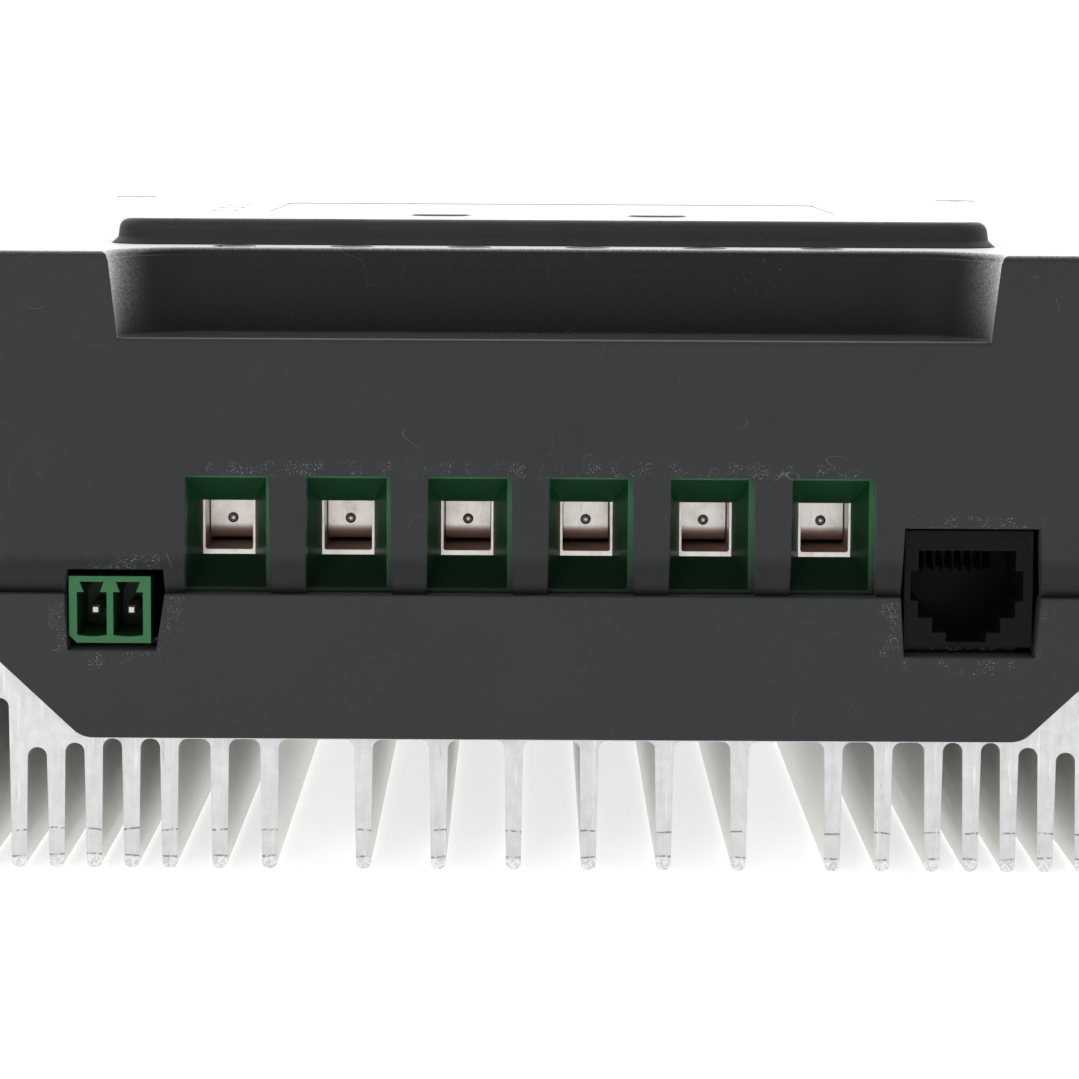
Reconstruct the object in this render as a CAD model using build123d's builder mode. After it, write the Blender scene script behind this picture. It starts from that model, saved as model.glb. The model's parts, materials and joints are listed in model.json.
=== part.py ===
from build123d import *
import math
import os

# A wall-mounted solar charge controller, lying on its back with the heatsink fins down.
# X runs along the long side, Y from the cable end to the far end, Z up out of the wall.
# The origin is under the middle of the object, in the plane of the fin tips. Millimetres.

# Overall body
HALF_WIDTH = 127.5
HALF_DEPTH = 92.5
PARTING_Z = 30.0
COVER_TOP = 66.0
BEZEL_TOP = 68.8
BUTTON_TOP = 69.0
END_PLATE_THICKNESS = 3.0

# Heatsink extrusion
EXTRUSION_HALF = HALF_DEPTH - END_PLATE_THICKNESS
BASE_UNDERSIDE = 14.0
FLOOR_TOP = 19.0
WING_UNDERSIDE = 25.0
TRAY_SLOPE = math.radians(43.2)
TRAY_FOOT_X = 48.7
TRAY_WALL = 2.8
FIN_ROOT = 2.0
FIN_TIP = 1.55
FIN_TIP_RADIUS = 0.7
FIN_ROOT_RADIUS = 0.97
FIN_PITCH = 4.0
EDGE_WALL = 3.0
INNER_FINS = [4.0, 12.0, 20.0, 30.0, 35.3, 40.65, 44.7, 48.7, 52.7, 56.7]
OUTER_FIN_COUNT = 16
MOUNT_HOLE_RADIUS = 2.5
MOUNT_SPACING_X = 202.0
MOUNT_SPACING_Y = 170.0
WING_GROOVE_DEPTH = 0.6
WING_GROOVE_WIDTH = 1.2
WING_GROOVES = (84.0, 88.0, 114.0, 118.0, 122.0)

# M3 screws, and the pilot holes that they cut their thread in
SCREW_SHANK = 1.5
SCREW_PILOT = 1.55
SCREW_CLEAR_HOLE = 1.7
PAN_HEAD_RADIUS = 2.8
HEAD_POCKET_RADIUS = 3.3
THREAD_DEPTH = 4.0
COUNTERSUNK_HEIGHT = 1.2
BOARD_SCREW_HEAD = 1.8
CROSS_SLOT_LENGTH = 3.2
CROSS_SLOT_WIDTH = 0.7

# Front cover
COVER_HALF_WIDTH = 78.0
COVER_CHAMFER = 6.0
COVER_WALL = 2.5
END_WALL = 2.0
BOTTOM_CURL = 0.9
BOTTOM_CURL_HEIGHT = 3.4
RECESS_FLOOR = 57.0
RECESS_DEPTH = 9.2
RECESS_HALF_TOP = 46.5
RECESS_HALF_FLOOR = 45.5
RECESS_CORNER = 8.6
COVER_SCREW_X = 67.0
COVER_SCREW_Y = 82.0
COVER_SCREW_HEAD = 2.2
COVER_SCREW_SEAT = COVER_TOP - COVER_SCREW_HEAD - 0.05
COVER_SCREW_FOOT = PARTING_Z - THREAD_DEPTH
COVER_SCREW_SOCKET = 1.3
COVER_SCREW_SOCKET_DEPTH = 1.3
COLUMN_RADIUS = 4.75
UPRIGHT_EDGE_RADIUS = 3.0
TOP_EDGE_RADIUS = 0.8
RECESS_LIP_RADIUS = 0.5
BROW_RADIUS = 0.8
BROW_OVERRUN = 2.0
OPENING_CUT_DEPTH = END_WALL + 0.5

# Lower end plates
PLATE_BOTTOM = 14.75
PLATE_FOOT_X = 49.5
PLATE_CORNER = 3.0
FLANGE_X = 24.0
FLANGE_TOP = 21.0
FLANGE_WIDTH = 12.0
FLANGE_LENGTH = 11.0
PLATE_SCREW_Y = COVER_SCREW_Y + 1.5

# Circuit board
BOARD_TOP = 24.75
BOARD_THICKNESS = 1.6
BOARD_BOTTOM = BOARD_TOP - BOARD_THICKNESS
BOARD_HALF_WIDTH = 51.0
BOARD_NEAR = -88.5
BOARD_FAR = 85.0
STANDOFF_RADIUS = 3.0
STANDOFF_SPOTS = [(side * 46.0, row) for side in (-1, 1) for row in (-66.0, 6.0, 78.0)]

# Power terminals, six poles in three pairs
POLE_PITCH = 12.7
OPENING_CENTRE = -2.35
BLOCK_CENTRE = -2.75
OPENING_TOP = 42.6
OPENING_WIDTH_TOP = 8.74
OPENING_WIDTH_LOW = 9.05
HOUSING_FRONT = -HALF_DEPTH + END_WALL + 0.1
HOUSING_BACK = -74.0
HOUSING_TOP = 51.0
MOUTH_WIDTH = 8.6
MOUTH_HEIGHT = 11.7
CABLE_HOLE_WIDTH = 5.55
CABLE_HOLE_HEIGHT = 5.79
CABLE_HOLE_Z = 36.33
CAGE_FRONT = -HALF_DEPTH + 6.0
CAGE_BACK = -76.2
CAGE_INNER = 5.07
CAGE_WALL = 0.6
CAGE_FLOOR = 33.95
CAGE_TOP = 42.5
NUT_BOTTOM = 39.9
NUT_FRONT = -81.55
LEAF_FRONT = -HALF_DEPTH + 10.3
LEAF_THICKNESS = 0.4
LEAF_WIDTH = 4.87
LEAF_BOTTOM = 34.45
LEAF_TOP = 39.3
LEAF_ROLL = 1.3
LEAF_BACK = -77.2
RIVET_Z = 36.75
RIVET_RADIUS = 0.55
RIVET_CORE_RADIUS = 0.37
SCREW_Y = -HALF_DEPTH + 12.6
SCREW_RADIUS = 1.75
SCREW_POINT = 0.9
SCREW_HEAD_RADIUS = 2.25
SCREW_HEAD_BOTTOM = 44.3
SCREW_HEAD_HEIGHT = 2.0
LEAF_TRAVEL = 4.6
SHAFT_RADIUS = 2.5
ACCESS_RADIUS = 2.4
CHIMNEY_RADIUS = 3.1
CHIMNEY_BOTTOM = 53.0

# Two-pole sensor header and data jack
HEADER_LEFT = -50.8
HEADER_WIDTH = 8.6
HEADER_HEIGHT = 7.1
HEADER_FRONT = -92.0
HEADER_BACK = -83.0
HEADER_PIN_PITCH = 3.81
HEADER_PIN_Z = BOARD_TOP + 3.07
HEADER_PIN_SIZE = 1.0
PIN_TIP_RECESS = 2.6
PIN_TIP_CHAMFER = 0.22
PIN_TIP_CHAMFER_DEPTH = 0.22
HEADER_CAVITY_HALF = 1.56
HEADER_CAVITY_FLOOR = BOARD_TOP + 0.85
HEADER_CAVITY_TOP = BOARD_TOP + HEADER_HEIGHT - 1.7
HEADER_CAVITY_DEPTH = 7.5
JACK_LEFT = 36.92
JACK_WIDTH = 13.5
JACK_TOP = BOARD_TOP + 12.4
JACK_FRONT = -91.9
JACK_BACK = -76.5
JACK_CENTRE = 43.5
JACK_SOCKET_DEPTH = 10.5
JACK_LIP = 1.2
CONTACT_PITCH = 1.02
CONTACT_WIDTH = 0.4
COMB_SLOT_WIDTH = 0.55
COMB_SLOT_HEIGHT = 2.4

# Display module on the front
BEZEL_HALF_WIDTH = 48.9
BEZEL_NEAR = -HALF_DEPTH + 15.1
BEZEL_LENGTH = 58.0
BEZEL_CORNER = 5.0
BEZEL_EDGE = 1.3
BEZEL_DRAFT = 8.0
BEZEL_FOOT = 0.7
BEZEL_FOOT_DRAFT = 48.0
SKIRT_HALF_WIDTH = 44.0
SKIRT_NEAR = -74.0
SKIRT_FAR = -22.8
WINDOW_CENTRE_Y = -40.5
WINDOW_WIDTH = 66.0
WINDOW_LENGTH = 31.0
BUTTONS_X = (-12.7, 11.8)
BUTTON_Y = -63.5
BUTTON_WIDTH = 6.5
BUTTON_LENGTH = 5.5
BUTTON_CORNER = 2.0
BUTTON_FLANGE = 1.0
BUTTON_FLANGE_THICKNESS = 0.8
BUTTON_STEM_RADIUS = 1.5
BUTTON_STEM = 0.4
SWITCH_SIZE = 6.0
SWITCH_HEIGHT = 2.5
LIGHT_X = -38.5
LIGHT_ROWS = (-52.0, -43.0, -34.0)
LIGHT_RADIUS = 1.5
LIGHT_GAP = 0.9
DISPLAY_BOARD_TOP = 61.1
DISPLAY_BOARD_THICKNESS = 1.6
DISPLAY_UNDERSIDE = DISPLAY_BOARD_TOP - DISPLAY_BOARD_THICKNESS
LCD_BOTTOM = DISPLAY_BOARD_TOP + 2.6
WINDOW_POCKET = 1.9
WINDOW_SUNK = 0.05
WINDOW_CHAMFER = 0.1
WINDOW_FRAME = 2.0
DISPLAY_SCREW_RADIUS = 1.0
DISPLAY_SCREW_SPOTS = [(side * 38.5, row) for side in (-1, 1) for row in (-70.0, -26.6)]

CLEARANCE = 0.1


def export(part, name):
    part.label = name
    export_step(part, "parts/" + name + ".step")


def pole_x(centre, index):
    return centre + POLE_PITCH * (index - 2.5)


def diagonal_x(z, foot_x, foot_z):
    return foot_x + (z - foot_z) / math.tan(TRAY_SLOPE)


os.makedirs("parts", exist_ok=True)

# ---------------------------------------------------------------------------
# Heatsink: one extrusion with a central tray, side wings and tapered fins
# ---------------------------------------------------------------------------
outer_fins = [INNER_FINS[-1] + FIN_PITCH * step for step in range(1, OUTER_FIN_COUNT + 1)]
mount_gap = MOUNT_SPACING_X / 2
kept_fins = [x for x in INNER_FINS + outer_fins if abs(x - mount_gap) > MOUNT_HOLE_RADIUS]
edge_fin = HALF_WIDTH - EDGE_WALL / 2


def slot_ceiling(x):
    """Height of the solid metal above a slot centred at x."""
    if x < TRAY_FOOT_X:
        return BASE_UNDERSIDE
    if x < INNER_FINS[-1]:
        return BASE_UNDERSIDE - 0.25 * (x - TRAY_FOOT_X + 2.0) / 2.0
    return min(WING_UNDERSIDE, 18.3 + (x - 58.7))


inner_foot = TRAY_FOOT_X - TRAY_WALL / math.sin(TRAY_SLOPE)
tray_outline = [
    (-HALF_WIDTH, 0),
    (-HALF_WIDTH, PARTING_Z),
    (-diagonal_x(PARTING_Z, inner_foot, BASE_UNDERSIDE), PARTING_Z),
    (-diagonal_x(FLOOR_TOP, inner_foot, BASE_UNDERSIDE), FLOOR_TOP),
    (diagonal_x(FLOOR_TOP, inner_foot, BASE_UNDERSIDE), FLOOR_TOP),
    (diagonal_x(PARTING_Z, inner_foot, BASE_UNDERSIDE), PARTING_Z),
    (HALF_WIDTH, PARTING_Z),
    (HALF_WIDTH, 0),
]

slots = []
right_fins = kept_fins + [edge_fin]
for left, right in zip([-kept_fins[0]] + kept_fins, right_fins):
    right_half = EDGE_WALL / 2 if right == edge_fin else FIN_ROOT / 2
    right_tip = EDGE_WALL / 2 if right == edge_fin else FIN_TIP / 2
    slots.append((left + FIN_ROOT / 2, right - right_half, left + FIN_TIP / 2, right - right_tip))

with BuildPart() as heatsink:
    with BuildSketch(Plane.XZ) as profile:
        with BuildLine():
            Polyline(*tray_outline, close=True)
        make_face()
        for root_left, root_right, tip_left, tip_right in slots:
            middle = (root_left + root_right) / 2
            ceiling = slot_ceiling(middle)
            for side in (1,) if middle == 0 else (1, -1):
                with BuildSketch(mode=Mode.PRIVATE) as slot:
                    with BuildLine():
                        Polyline(
                            (side * tip_left, -1),
                            (side * root_left, ceiling),
                            (side * root_right, ceiling),
                            (side * tip_right, -1),
                            close=True,
                        )
                    make_face()
                    roof = slot.vertices().group_by(Axis.Y)[-1]
                    fillet(roof, min(FIN_ROOT_RADIUS, (root_right - root_left) / 2 - 0.01))
                add(slot.sketch, mode=Mode.SUBTRACT)
        tips = profile.vertices().group_by(Axis.Y)[0]
        fillet(tips, FIN_TIP_RADIUS)
    extrude(amount=EXTRUSION_HALF, both=True)
    with BuildSketch(Plane.XZ) as grooves:
        for side in (-1, 1):
            for offset_x in WING_GROOVES:
                with Locations((side * offset_x, PARTING_Z)):
                    Rectangle(WING_GROOVE_WIDTH, 2 * WING_GROOVE_DEPTH)
    extrude(amount=EXTRUSION_HALF, both=True, mode=Mode.SUBTRACT)
    with Locations(Plane.XY.offset(PARTING_Z)):
        with GridLocations(MOUNT_SPACING_X, MOUNT_SPACING_Y, 2, 2):
            Hole(MOUNT_HOLE_RADIUS, depth=PARTING_Z - WING_UNDERSIDE + 1)
        with GridLocations(2 * COVER_SCREW_X, 2 * COVER_SCREW_Y, 2, 2):
            Hole(SCREW_PILOT, depth=THREAD_DEPTH + 0.5)
    with Locations(Plane.XY.offset(FLOOR_TOP)):
        with GridLocations(2 * FLANGE_X, 2 * PLATE_SCREW_Y, 2, 2):
            Hole(SCREW_PILOT, depth=THREAD_DEPTH)
        with Locations(*STANDOFF_SPOTS):
            Hole(SCREW_PILOT, depth=THREAD_DEPTH - 0.5)
export(heatsink.part, "heatsink")

# ---------------------------------------------------------------------------
# Front cover: a shell open at the back, with the stepped recess at the cable end
# ---------------------------------------------------------------------------


def cover_section(inset, bottom):
    half = COVER_HALF_WIDTH - inset
    top = COVER_TOP - inset
    shoulder = COVER_CHAMFER - inset * (2 - math.sqrt(2))
    return [
        (-half, bottom),
        (-half, top - shoulder),
        (-half + shoulder, top),
        (half - shoulder, top),
        (half, top - shoulder),
        (half, bottom),
    ]


curl_radius = (BOTTOM_CURL_HEIGHT**2 + BOTTOM_CURL**2) / (2 * BOTTOM_CURL)
curl_half_angle = math.asin(BOTTOM_CURL_HEIGHT / curl_radius) / 2
curl_start = (-HALF_DEPTH, PARTING_Z + BOTTOM_CURL_HEIGHT)
curl_end = (-HALF_DEPTH + BOTTOM_CURL, PARTING_Z)
curl_middle = (
    -HALF_DEPTH + curl_radius * (1 - math.cos(curl_half_angle)),
    PARTING_Z + BOTTOM_CURL_HEIGHT - curl_radius * math.sin(curl_half_angle),
)

recess_outline = [
    (-RECESS_HALF_FLOOR, RECESS_FLOOR),
    (-RECESS_HALF_TOP, COVER_TOP + 0.01),
    (RECESS_HALF_TOP, COVER_TOP + 0.01),
    (RECESS_HALF_FLOOR, RECESS_FLOOR),
]
header_opening_top = [(-50.9, 32.65), (-40.85, 32.65), (-40.7, PARTING_Z), (-51.25, PARTING_Z)]
header_opening_low = [(-51.25, PARTING_Z), (-40.7, PARTING_Z), (-41.6, 24.05), (-50.95, 24.05)]
jack_opening_top = [(36.84, 37.4), (51.05, 37.4), (51.3, PARTING_Z), (36.5, PARTING_Z)]
jack_opening_low = [(36.5, PARTING_Z), (51.3, PARTING_Z), (50.7, 23.75), (36.9, 23.75)]

with BuildPart() as cover:
    with BuildSketch(Plane.XZ):
        with BuildLine():
            Polyline(*cover_section(0, PARTING_Z), close=True)
        make_face()
    extrude(amount=HALF_DEPTH, both=True)
    upright = cover.edges().filter_by(Axis.Z)
    fillet(upright, UPRIGHT_EDGE_RADIUS)
    fillet(cover.faces().sort_by(Axis.Z)[-1].edges(), TOP_EDGE_RADIUS)
    with BuildSketch(Plane.XZ):
        with BuildLine():
            Polyline(*cover_section(COVER_WALL, PARTING_Z - 1), close=True)
        make_face()
    extrude(amount=HALF_DEPTH - END_WALL, both=True, mode=Mode.SUBTRACT)
    with BuildSketch(Plane.XY.offset(RECESS_FLOOR - COVER_WALL)):
        with Locations((0, -HALF_DEPTH + 1)):
            rib_width = 2 * (RECESS_HALF_TOP + COVER_WALL)
            Rectangle(rib_width, RECESS_DEPTH + COVER_WALL - 1, align=(Align.CENTER, Align.MIN))
    extrude(amount=COVER_TOP - RECESS_FLOOR + COVER_WALL - 1)
    with BuildSketch(Plane.XY.offset(CHIMNEY_BOTTOM)):
        with Locations(*[(pole_x(BLOCK_CENTRE, index), SCREW_Y) for index in range(6)]):
            Circle(CHIMNEY_RADIUS)
    extrude(amount=COVER_TOP - CHIMNEY_BOTTOM - 1)
    with BuildSketch(Plane.XY.offset(PARTING_Z)):
        with GridLocations(2 * COVER_SCREW_X, 2 * COVER_SCREW_Y, 2, 2):
            Circle(COLUMN_RADIUS)
    extrude(amount=COVER_TOP - PARTING_Z - 1)
    with BuildSketch(Plane.XZ.offset(HALF_DEPTH)):
        with BuildLine():
            Polyline(*recess_outline, close=True)
        make_face()
    extrude(amount=-RECESS_DEPTH, mode=Mode.SUBTRACT)
    recess_back = -HALF_DEPTH + RECESS_DEPTH
    corners = cover.edges().filter_by_position(Axis.Y, recess_back - 0.01, recess_back + 0.01)
    corners = corners.filter_by(lambda edge: abs(edge.center().X) > RECESS_HALF_FLOOR - 1)
    fillet(corners, RECESS_CORNER)
    recess_rim = cover.edges().filter_by_position(Axis.Z, RECESS_FLOOR - 0.01, RECESS_FLOOR + 0.01)
    recess_rim = recess_rim.filter_by_position(Axis.Y, -HALF_DEPTH - 0.01, -HALF_DEPTH + 0.01)
    fillet(recess_rim, RECESS_LIP_RADIUS)
    with BuildLine(Plane.XY.offset(COVER_TOP)):
        FilletPolyline(
            (-RECESS_HALF_TOP, -HALF_DEPTH - BROW_OVERRUN),
            (-RECESS_HALF_TOP, recess_back),
            (RECESS_HALF_TOP, recess_back),
            (RECESS_HALF_TOP, -HALF_DEPTH - BROW_OVERRUN),
            radius=RECESS_CORNER,
        )
    with BuildSketch(Plane.XZ.offset(HALF_DEPTH + BROW_OVERRUN)):
        with BuildLine():
            rise = BROW_RADIUS * math.sqrt(0.5)
            ThreePointArc(
                (-RECESS_HALF_TOP - BROW_RADIUS, COVER_TOP),
                (-RECESS_HALF_TOP - BROW_RADIUS + rise, COVER_TOP - BROW_RADIUS + rise),
                (-RECESS_HALF_TOP, COVER_TOP - BROW_RADIUS),
            )
            Polyline(
                (-RECESS_HALF_TOP, COVER_TOP - BROW_RADIUS),
                (-RECESS_HALF_TOP + BROW_RADIUS, COVER_TOP - BROW_RADIUS),
                (-RECESS_HALF_TOP + BROW_RADIUS, COVER_TOP + BROW_RADIUS),
                (-RECESS_HALF_TOP - BROW_RADIUS, COVER_TOP + BROW_RADIUS),
                (-RECESS_HALF_TOP - BROW_RADIUS, COVER_TOP),
            )
        make_face()
    sweep(mode=Mode.SUBTRACT)
    with Locations(*[(pole_x(BLOCK_CENTRE, index), SCREW_Y, COVER_TOP) for index in range(6)]):
        Hole(ACCESS_RADIUS, depth=COVER_TOP - CHIMNEY_BOTTOM + 1)
    with Locations(Plane.XY.offset(COVER_TOP)):
        with GridLocations(2 * COVER_SCREW_X, 2 * COVER_SCREW_Y, 2, 2):
            column_depth = COVER_TOP - PARTING_Z + 1
            seat_depth = COVER_TOP - COVER_SCREW_SEAT
            CounterBoreHole(SCREW_CLEAR_HOLE, HEAD_POCKET_RADIUS, seat_depth, column_depth)
    with BuildSketch(Plane.XY.offset(COVER_TOP)):
        with Locations((0, (SKIRT_NEAR + SKIRT_FAR) / 2)):
            opening_length = SKIRT_FAR - SKIRT_NEAR + 2 * CLEARANCE
            RectangleRounded(2 * (SKIRT_HALF_WIDTH + CLEARANCE), opening_length, 2.0)
    extrude(amount=-COVER_WALL - 1, mode=Mode.SUBTRACT)
    with BuildSketch(Plane.XZ.offset(HALF_DEPTH)):
        for index in range(6):
            middle = pole_x(OPENING_CENTRE, index)
            with BuildLine():
                Polyline(
                    (middle - OPENING_WIDTH_LOW / 2, PARTING_Z),
                    (middle - OPENING_WIDTH_TOP / 2, OPENING_TOP),
                    (middle + OPENING_WIDTH_TOP / 2, OPENING_TOP),
                    (middle + OPENING_WIDTH_LOW / 2, PARTING_Z),
                    close=True,
                )
            make_face()
        with BuildLine():
            Polyline(*header_opening_top, close=True)
        make_face()
        with BuildLine():
            Polyline(*jack_opening_top, close=True)
        make_face()
    extrude(amount=-OPENING_CUT_DEPTH, mode=Mode.SUBTRACT)
    with BuildSketch(Plane.YZ):
        with BuildLine():
            ThreePointArc(curl_start, curl_middle, curl_end)
            Polyline(
                curl_end,
                (curl_end[0], PARTING_Z - 1),
                (-HALF_DEPTH - 1, PARTING_Z - 1),
                (-HALF_DEPTH - 1, curl_start[1]),
                curl_start,
            )
        make_face()
    extrude(amount=COVER_HALF_WIDTH + 1, both=True, mode=Mode.SUBTRACT)
export(cover.part, "front_cover")

with BuildPart() as cover_screws:
    spots = GridLocations(2 * COVER_SCREW_X, 2 * COVER_SCREW_Y, 2, 2)
    with BuildSketch(Plane.XY.offset(COVER_SCREW_FOOT)):
        with spots:
            Circle(SCREW_SHANK)
    extrude(amount=COVER_SCREW_SEAT - COVER_SCREW_FOOT)
    with BuildSketch(Plane.XY.offset(COVER_SCREW_SEAT)):
        with spots:
            Circle(PAN_HEAD_RADIUS)
    extrude(amount=COVER_SCREW_HEAD)
    with BuildSketch(Plane.XY.offset(COVER_SCREW_SEAT + COVER_SCREW_HEAD)):
        with spots:
            RegularPolygon(COVER_SCREW_SOCKET, 6)
    extrude(amount=-COVER_SCREW_SOCKET_DEPTH, mode=Mode.SUBTRACT)
export(cover_screws.part, "cover_screws")

# ---------------------------------------------------------------------------
# Lower end plates that close the tray of the heatsink
# ---------------------------------------------------------------------------


def end_plate_outline():
    crease_x = diagonal_x(PARTING_Z, PLATE_FOOT_X, PLATE_BOTTOM)
    return [
        (-PLATE_FOOT_X, PLATE_BOTTOM),
        (PLATE_FOOT_X, PLATE_BOTTOM),
        (crease_x, PARTING_Z),
        (-crease_x, PARTING_Z),
    ]


def build_end_plate(side, openings):
    """One plate with two screw flanges; side is -1 at the cable end and 1 at the far end."""
    outer_y = side * HALF_DEPTH
    with BuildPart() as plate:
        with BuildSketch(Plane.XZ.offset(-outer_y)) as face:
            with BuildLine():
                Polyline(*end_plate_outline(), close=True)
            make_face()
            fillet(face.vertices().group_by(Axis.Y)[0], PLATE_CORNER)
            for outline in openings:
                with BuildLine():
                    Polyline(*outline, close=True)
                make_face(mode=Mode.SUBTRACT)
        extrude(amount=side * END_PLATE_THICKNESS)
        with BuildSketch(Plane.XY.offset(FLOOR_TOP)):
            with GridLocations(2 * FLANGE_X, 0, 2, 1):
                with Locations((0, side * (EXTRUSION_HALF - 4.5))):
                    Rectangle(FLANGE_WIDTH, FLANGE_LENGTH)
        extrude(amount=FLANGE_TOP - FLOOR_TOP)
        with Locations(Plane.XY.offset(FLANGE_TOP)):
            with Locations(*[(x, side * PLATE_SCREW_Y) for x in (-FLANGE_X, FLANGE_X)]):
                CounterSinkHole(SCREW_CLEAR_HOLE, PAN_HEAD_RADIUS + CLEARANCE / 2)
    return plate.part


export(build_end_plate(-1, [header_opening_low, jack_opening_low]), "terminal_end_plate")
export(build_end_plate(1, []), "far_end_plate")

with BuildPart() as end_plate_screws:
    spots = GridLocations(2 * FLANGE_X, 2 * PLATE_SCREW_Y, 2, 2)
    shank_top = FLANGE_TOP - COUNTERSUNK_HEIGHT / 2
    shank_foot = FLOOR_TOP - THREAD_DEPTH + 0.5
    with BuildSketch(Plane.XY.offset(shank_foot)):
        with spots:
            Circle(SCREW_SHANK)
    extrude(amount=shank_top - shank_foot)
    for spot in spots:
        with Locations((spot.position.X, spot.position.Y, shank_top)):
            Cone(SCREW_SHANK, PAN_HEAD_RADIUS - CLEARANCE, COUNTERSUNK_HEIGHT)
export(end_plate_screws.part, "end_plate_screws")

# ---------------------------------------------------------------------------
# Power terminals
# ---------------------------------------------------------------------------


def build_housing(first_pole):
    """A two-pole green housing with a funnel, a cage chamber and a screw shaft for each pole."""
    poles = [pole_x(BLOCK_CENTRE, first_pole + offset) for offset in (0, 1)]
    middle = sum(poles) / 2
    depth = HOUSING_BACK - HOUSING_FRONT
    with BuildPart() as housing:
        with Locations((middle, HOUSING_FRONT, BOARD_TOP)):
            corner = (Align.CENTER, Align.MIN, Align.MIN)
            Box(2 * POLE_PITCH - CLEARANCE, depth, HOUSING_TOP - BOARD_TOP, align=corner)
        back_edge = housing.edges().filter_by(Axis.X).group_by(Axis.Z)[-1].sort_by(Axis.Y)[-1]
        chamfer(back_edge, 2.0)
        with Locations((middle, HOUSING_FRONT, BOARD_TOP)):
            step_depth = END_PLATE_THICKNESS - END_WALL
            step_height = PARTING_Z + CLEARANCE - BOARD_TOP
            Box(2 * POLE_PITCH, step_depth, step_height, align=corner, mode=Mode.SUBTRACT)
        for x in poles:
            with BuildSketch(Plane.XZ.offset(-HOUSING_FRONT)):
                with Locations((x, CABLE_HOLE_Z)):
                    Rectangle(MOUTH_WIDTH, MOUTH_HEIGHT)
            with BuildSketch(Plane.XZ.offset(-CAGE_FRONT)):
                with Locations((x, CABLE_HOLE_Z)):
                    Rectangle(CABLE_HOLE_WIDTH, CABLE_HOLE_HEIGHT)
            loft(mode=Mode.SUBTRACT)
            with Locations((x, CAGE_FRONT, CAGE_FLOOR - CAGE_WALL - CLEARANCE / 2)):
                Box(
                    CAGE_INNER + 2 * CAGE_WALL + CLEARANCE,
                    CAGE_BACK - CAGE_FRONT + CLEARANCE,
                    CAGE_TOP - CAGE_FLOOR + CAGE_WALL + CLEARANCE,
                    align=(Align.CENTER, Align.MIN, Align.MIN),
                    mode=Mode.SUBTRACT,
                )
            with Locations((x, LEAF_FRONT - 0.4, CAGE_TOP - 0.5)):
                Box(
                    LEAF_WIDTH + 0.3,
                    LEAF_THICKNESS + 0.8,
                    LEAF_TOP + LEAF_TRAVEL - CAGE_TOP + 1.0,
                    align=(Align.CENTER, Align.MIN, Align.MIN),
                    mode=Mode.SUBTRACT,
                )
            with Locations((x, SCREW_Y, HOUSING_TOP)):
                Hole(SHAFT_RADIUS, depth=HOUSING_TOP - CAGE_TOP + 0.5)
            with Locations((x, CAGE_BACK - 2.0, CAGE_FLOOR)):
                Hole(0.8, depth=CAGE_FLOOR - BOARD_TOP + 1)
    return housing.part


HOUSING_NAMES = ("pv_terminal_housing", "battery_terminal_housing", "load_terminal_housing")
for pair, housing_name in enumerate(HOUSING_NAMES):
    export(build_housing(2 * pair), housing_name)


def build_cage(x):
    """Fixed tin-plated channel with a threaded bridge on top and a solder tail below."""
    outer = CAGE_INNER + 2 * CAGE_WALL
    with BuildPart() as cage:
        with BuildSketch(Plane.XZ.offset(-CAGE_FRONT)) as channel:
            with Locations((x, CAGE_FLOOR - CAGE_WALL)):
                Rectangle(outer, CAGE_TOP - CAGE_FLOOR + CAGE_WALL, align=(Align.CENTER, Align.MIN))
            with BuildSketch(mode=Mode.PRIVATE) as inside:
                with Locations((x, CAGE_FLOOR)):
                    Rectangle(CAGE_INNER, 20.0, align=(Align.CENTER, Align.MIN))
                fillet(inside.vertices().group_by(Axis.Y)[0], 0.25)
            add(inside.sketch, mode=Mode.SUBTRACT)
        extrude(amount=CAGE_FRONT - CAGE_BACK)
        with Locations((x, NUT_FRONT, NUT_BOTTOM)):
            Box(
                outer,
                CAGE_BACK - NUT_FRONT,
                CAGE_TOP - NUT_BOTTOM,
                align=(Align.CENTER, Align.MIN, Align.MIN),
            )
        with Locations((x, SCREW_Y, CAGE_TOP)):
            Hole(SCREW_RADIUS + CLEARANCE / 2, depth=CAGE_TOP - NUT_BOTTOM + 0.5)
        with Locations((x, CAGE_BACK - 2.0, BOARD_BOTTOM - 0.9)):
            tail_height = CAGE_FLOOR - CAGE_WALL - BOARD_BOTTOM + 1.0
            Cylinder(0.7, tail_height, align=(Align.CENTER, Align.CENTER, Align.MIN))
    return cage.part


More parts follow.
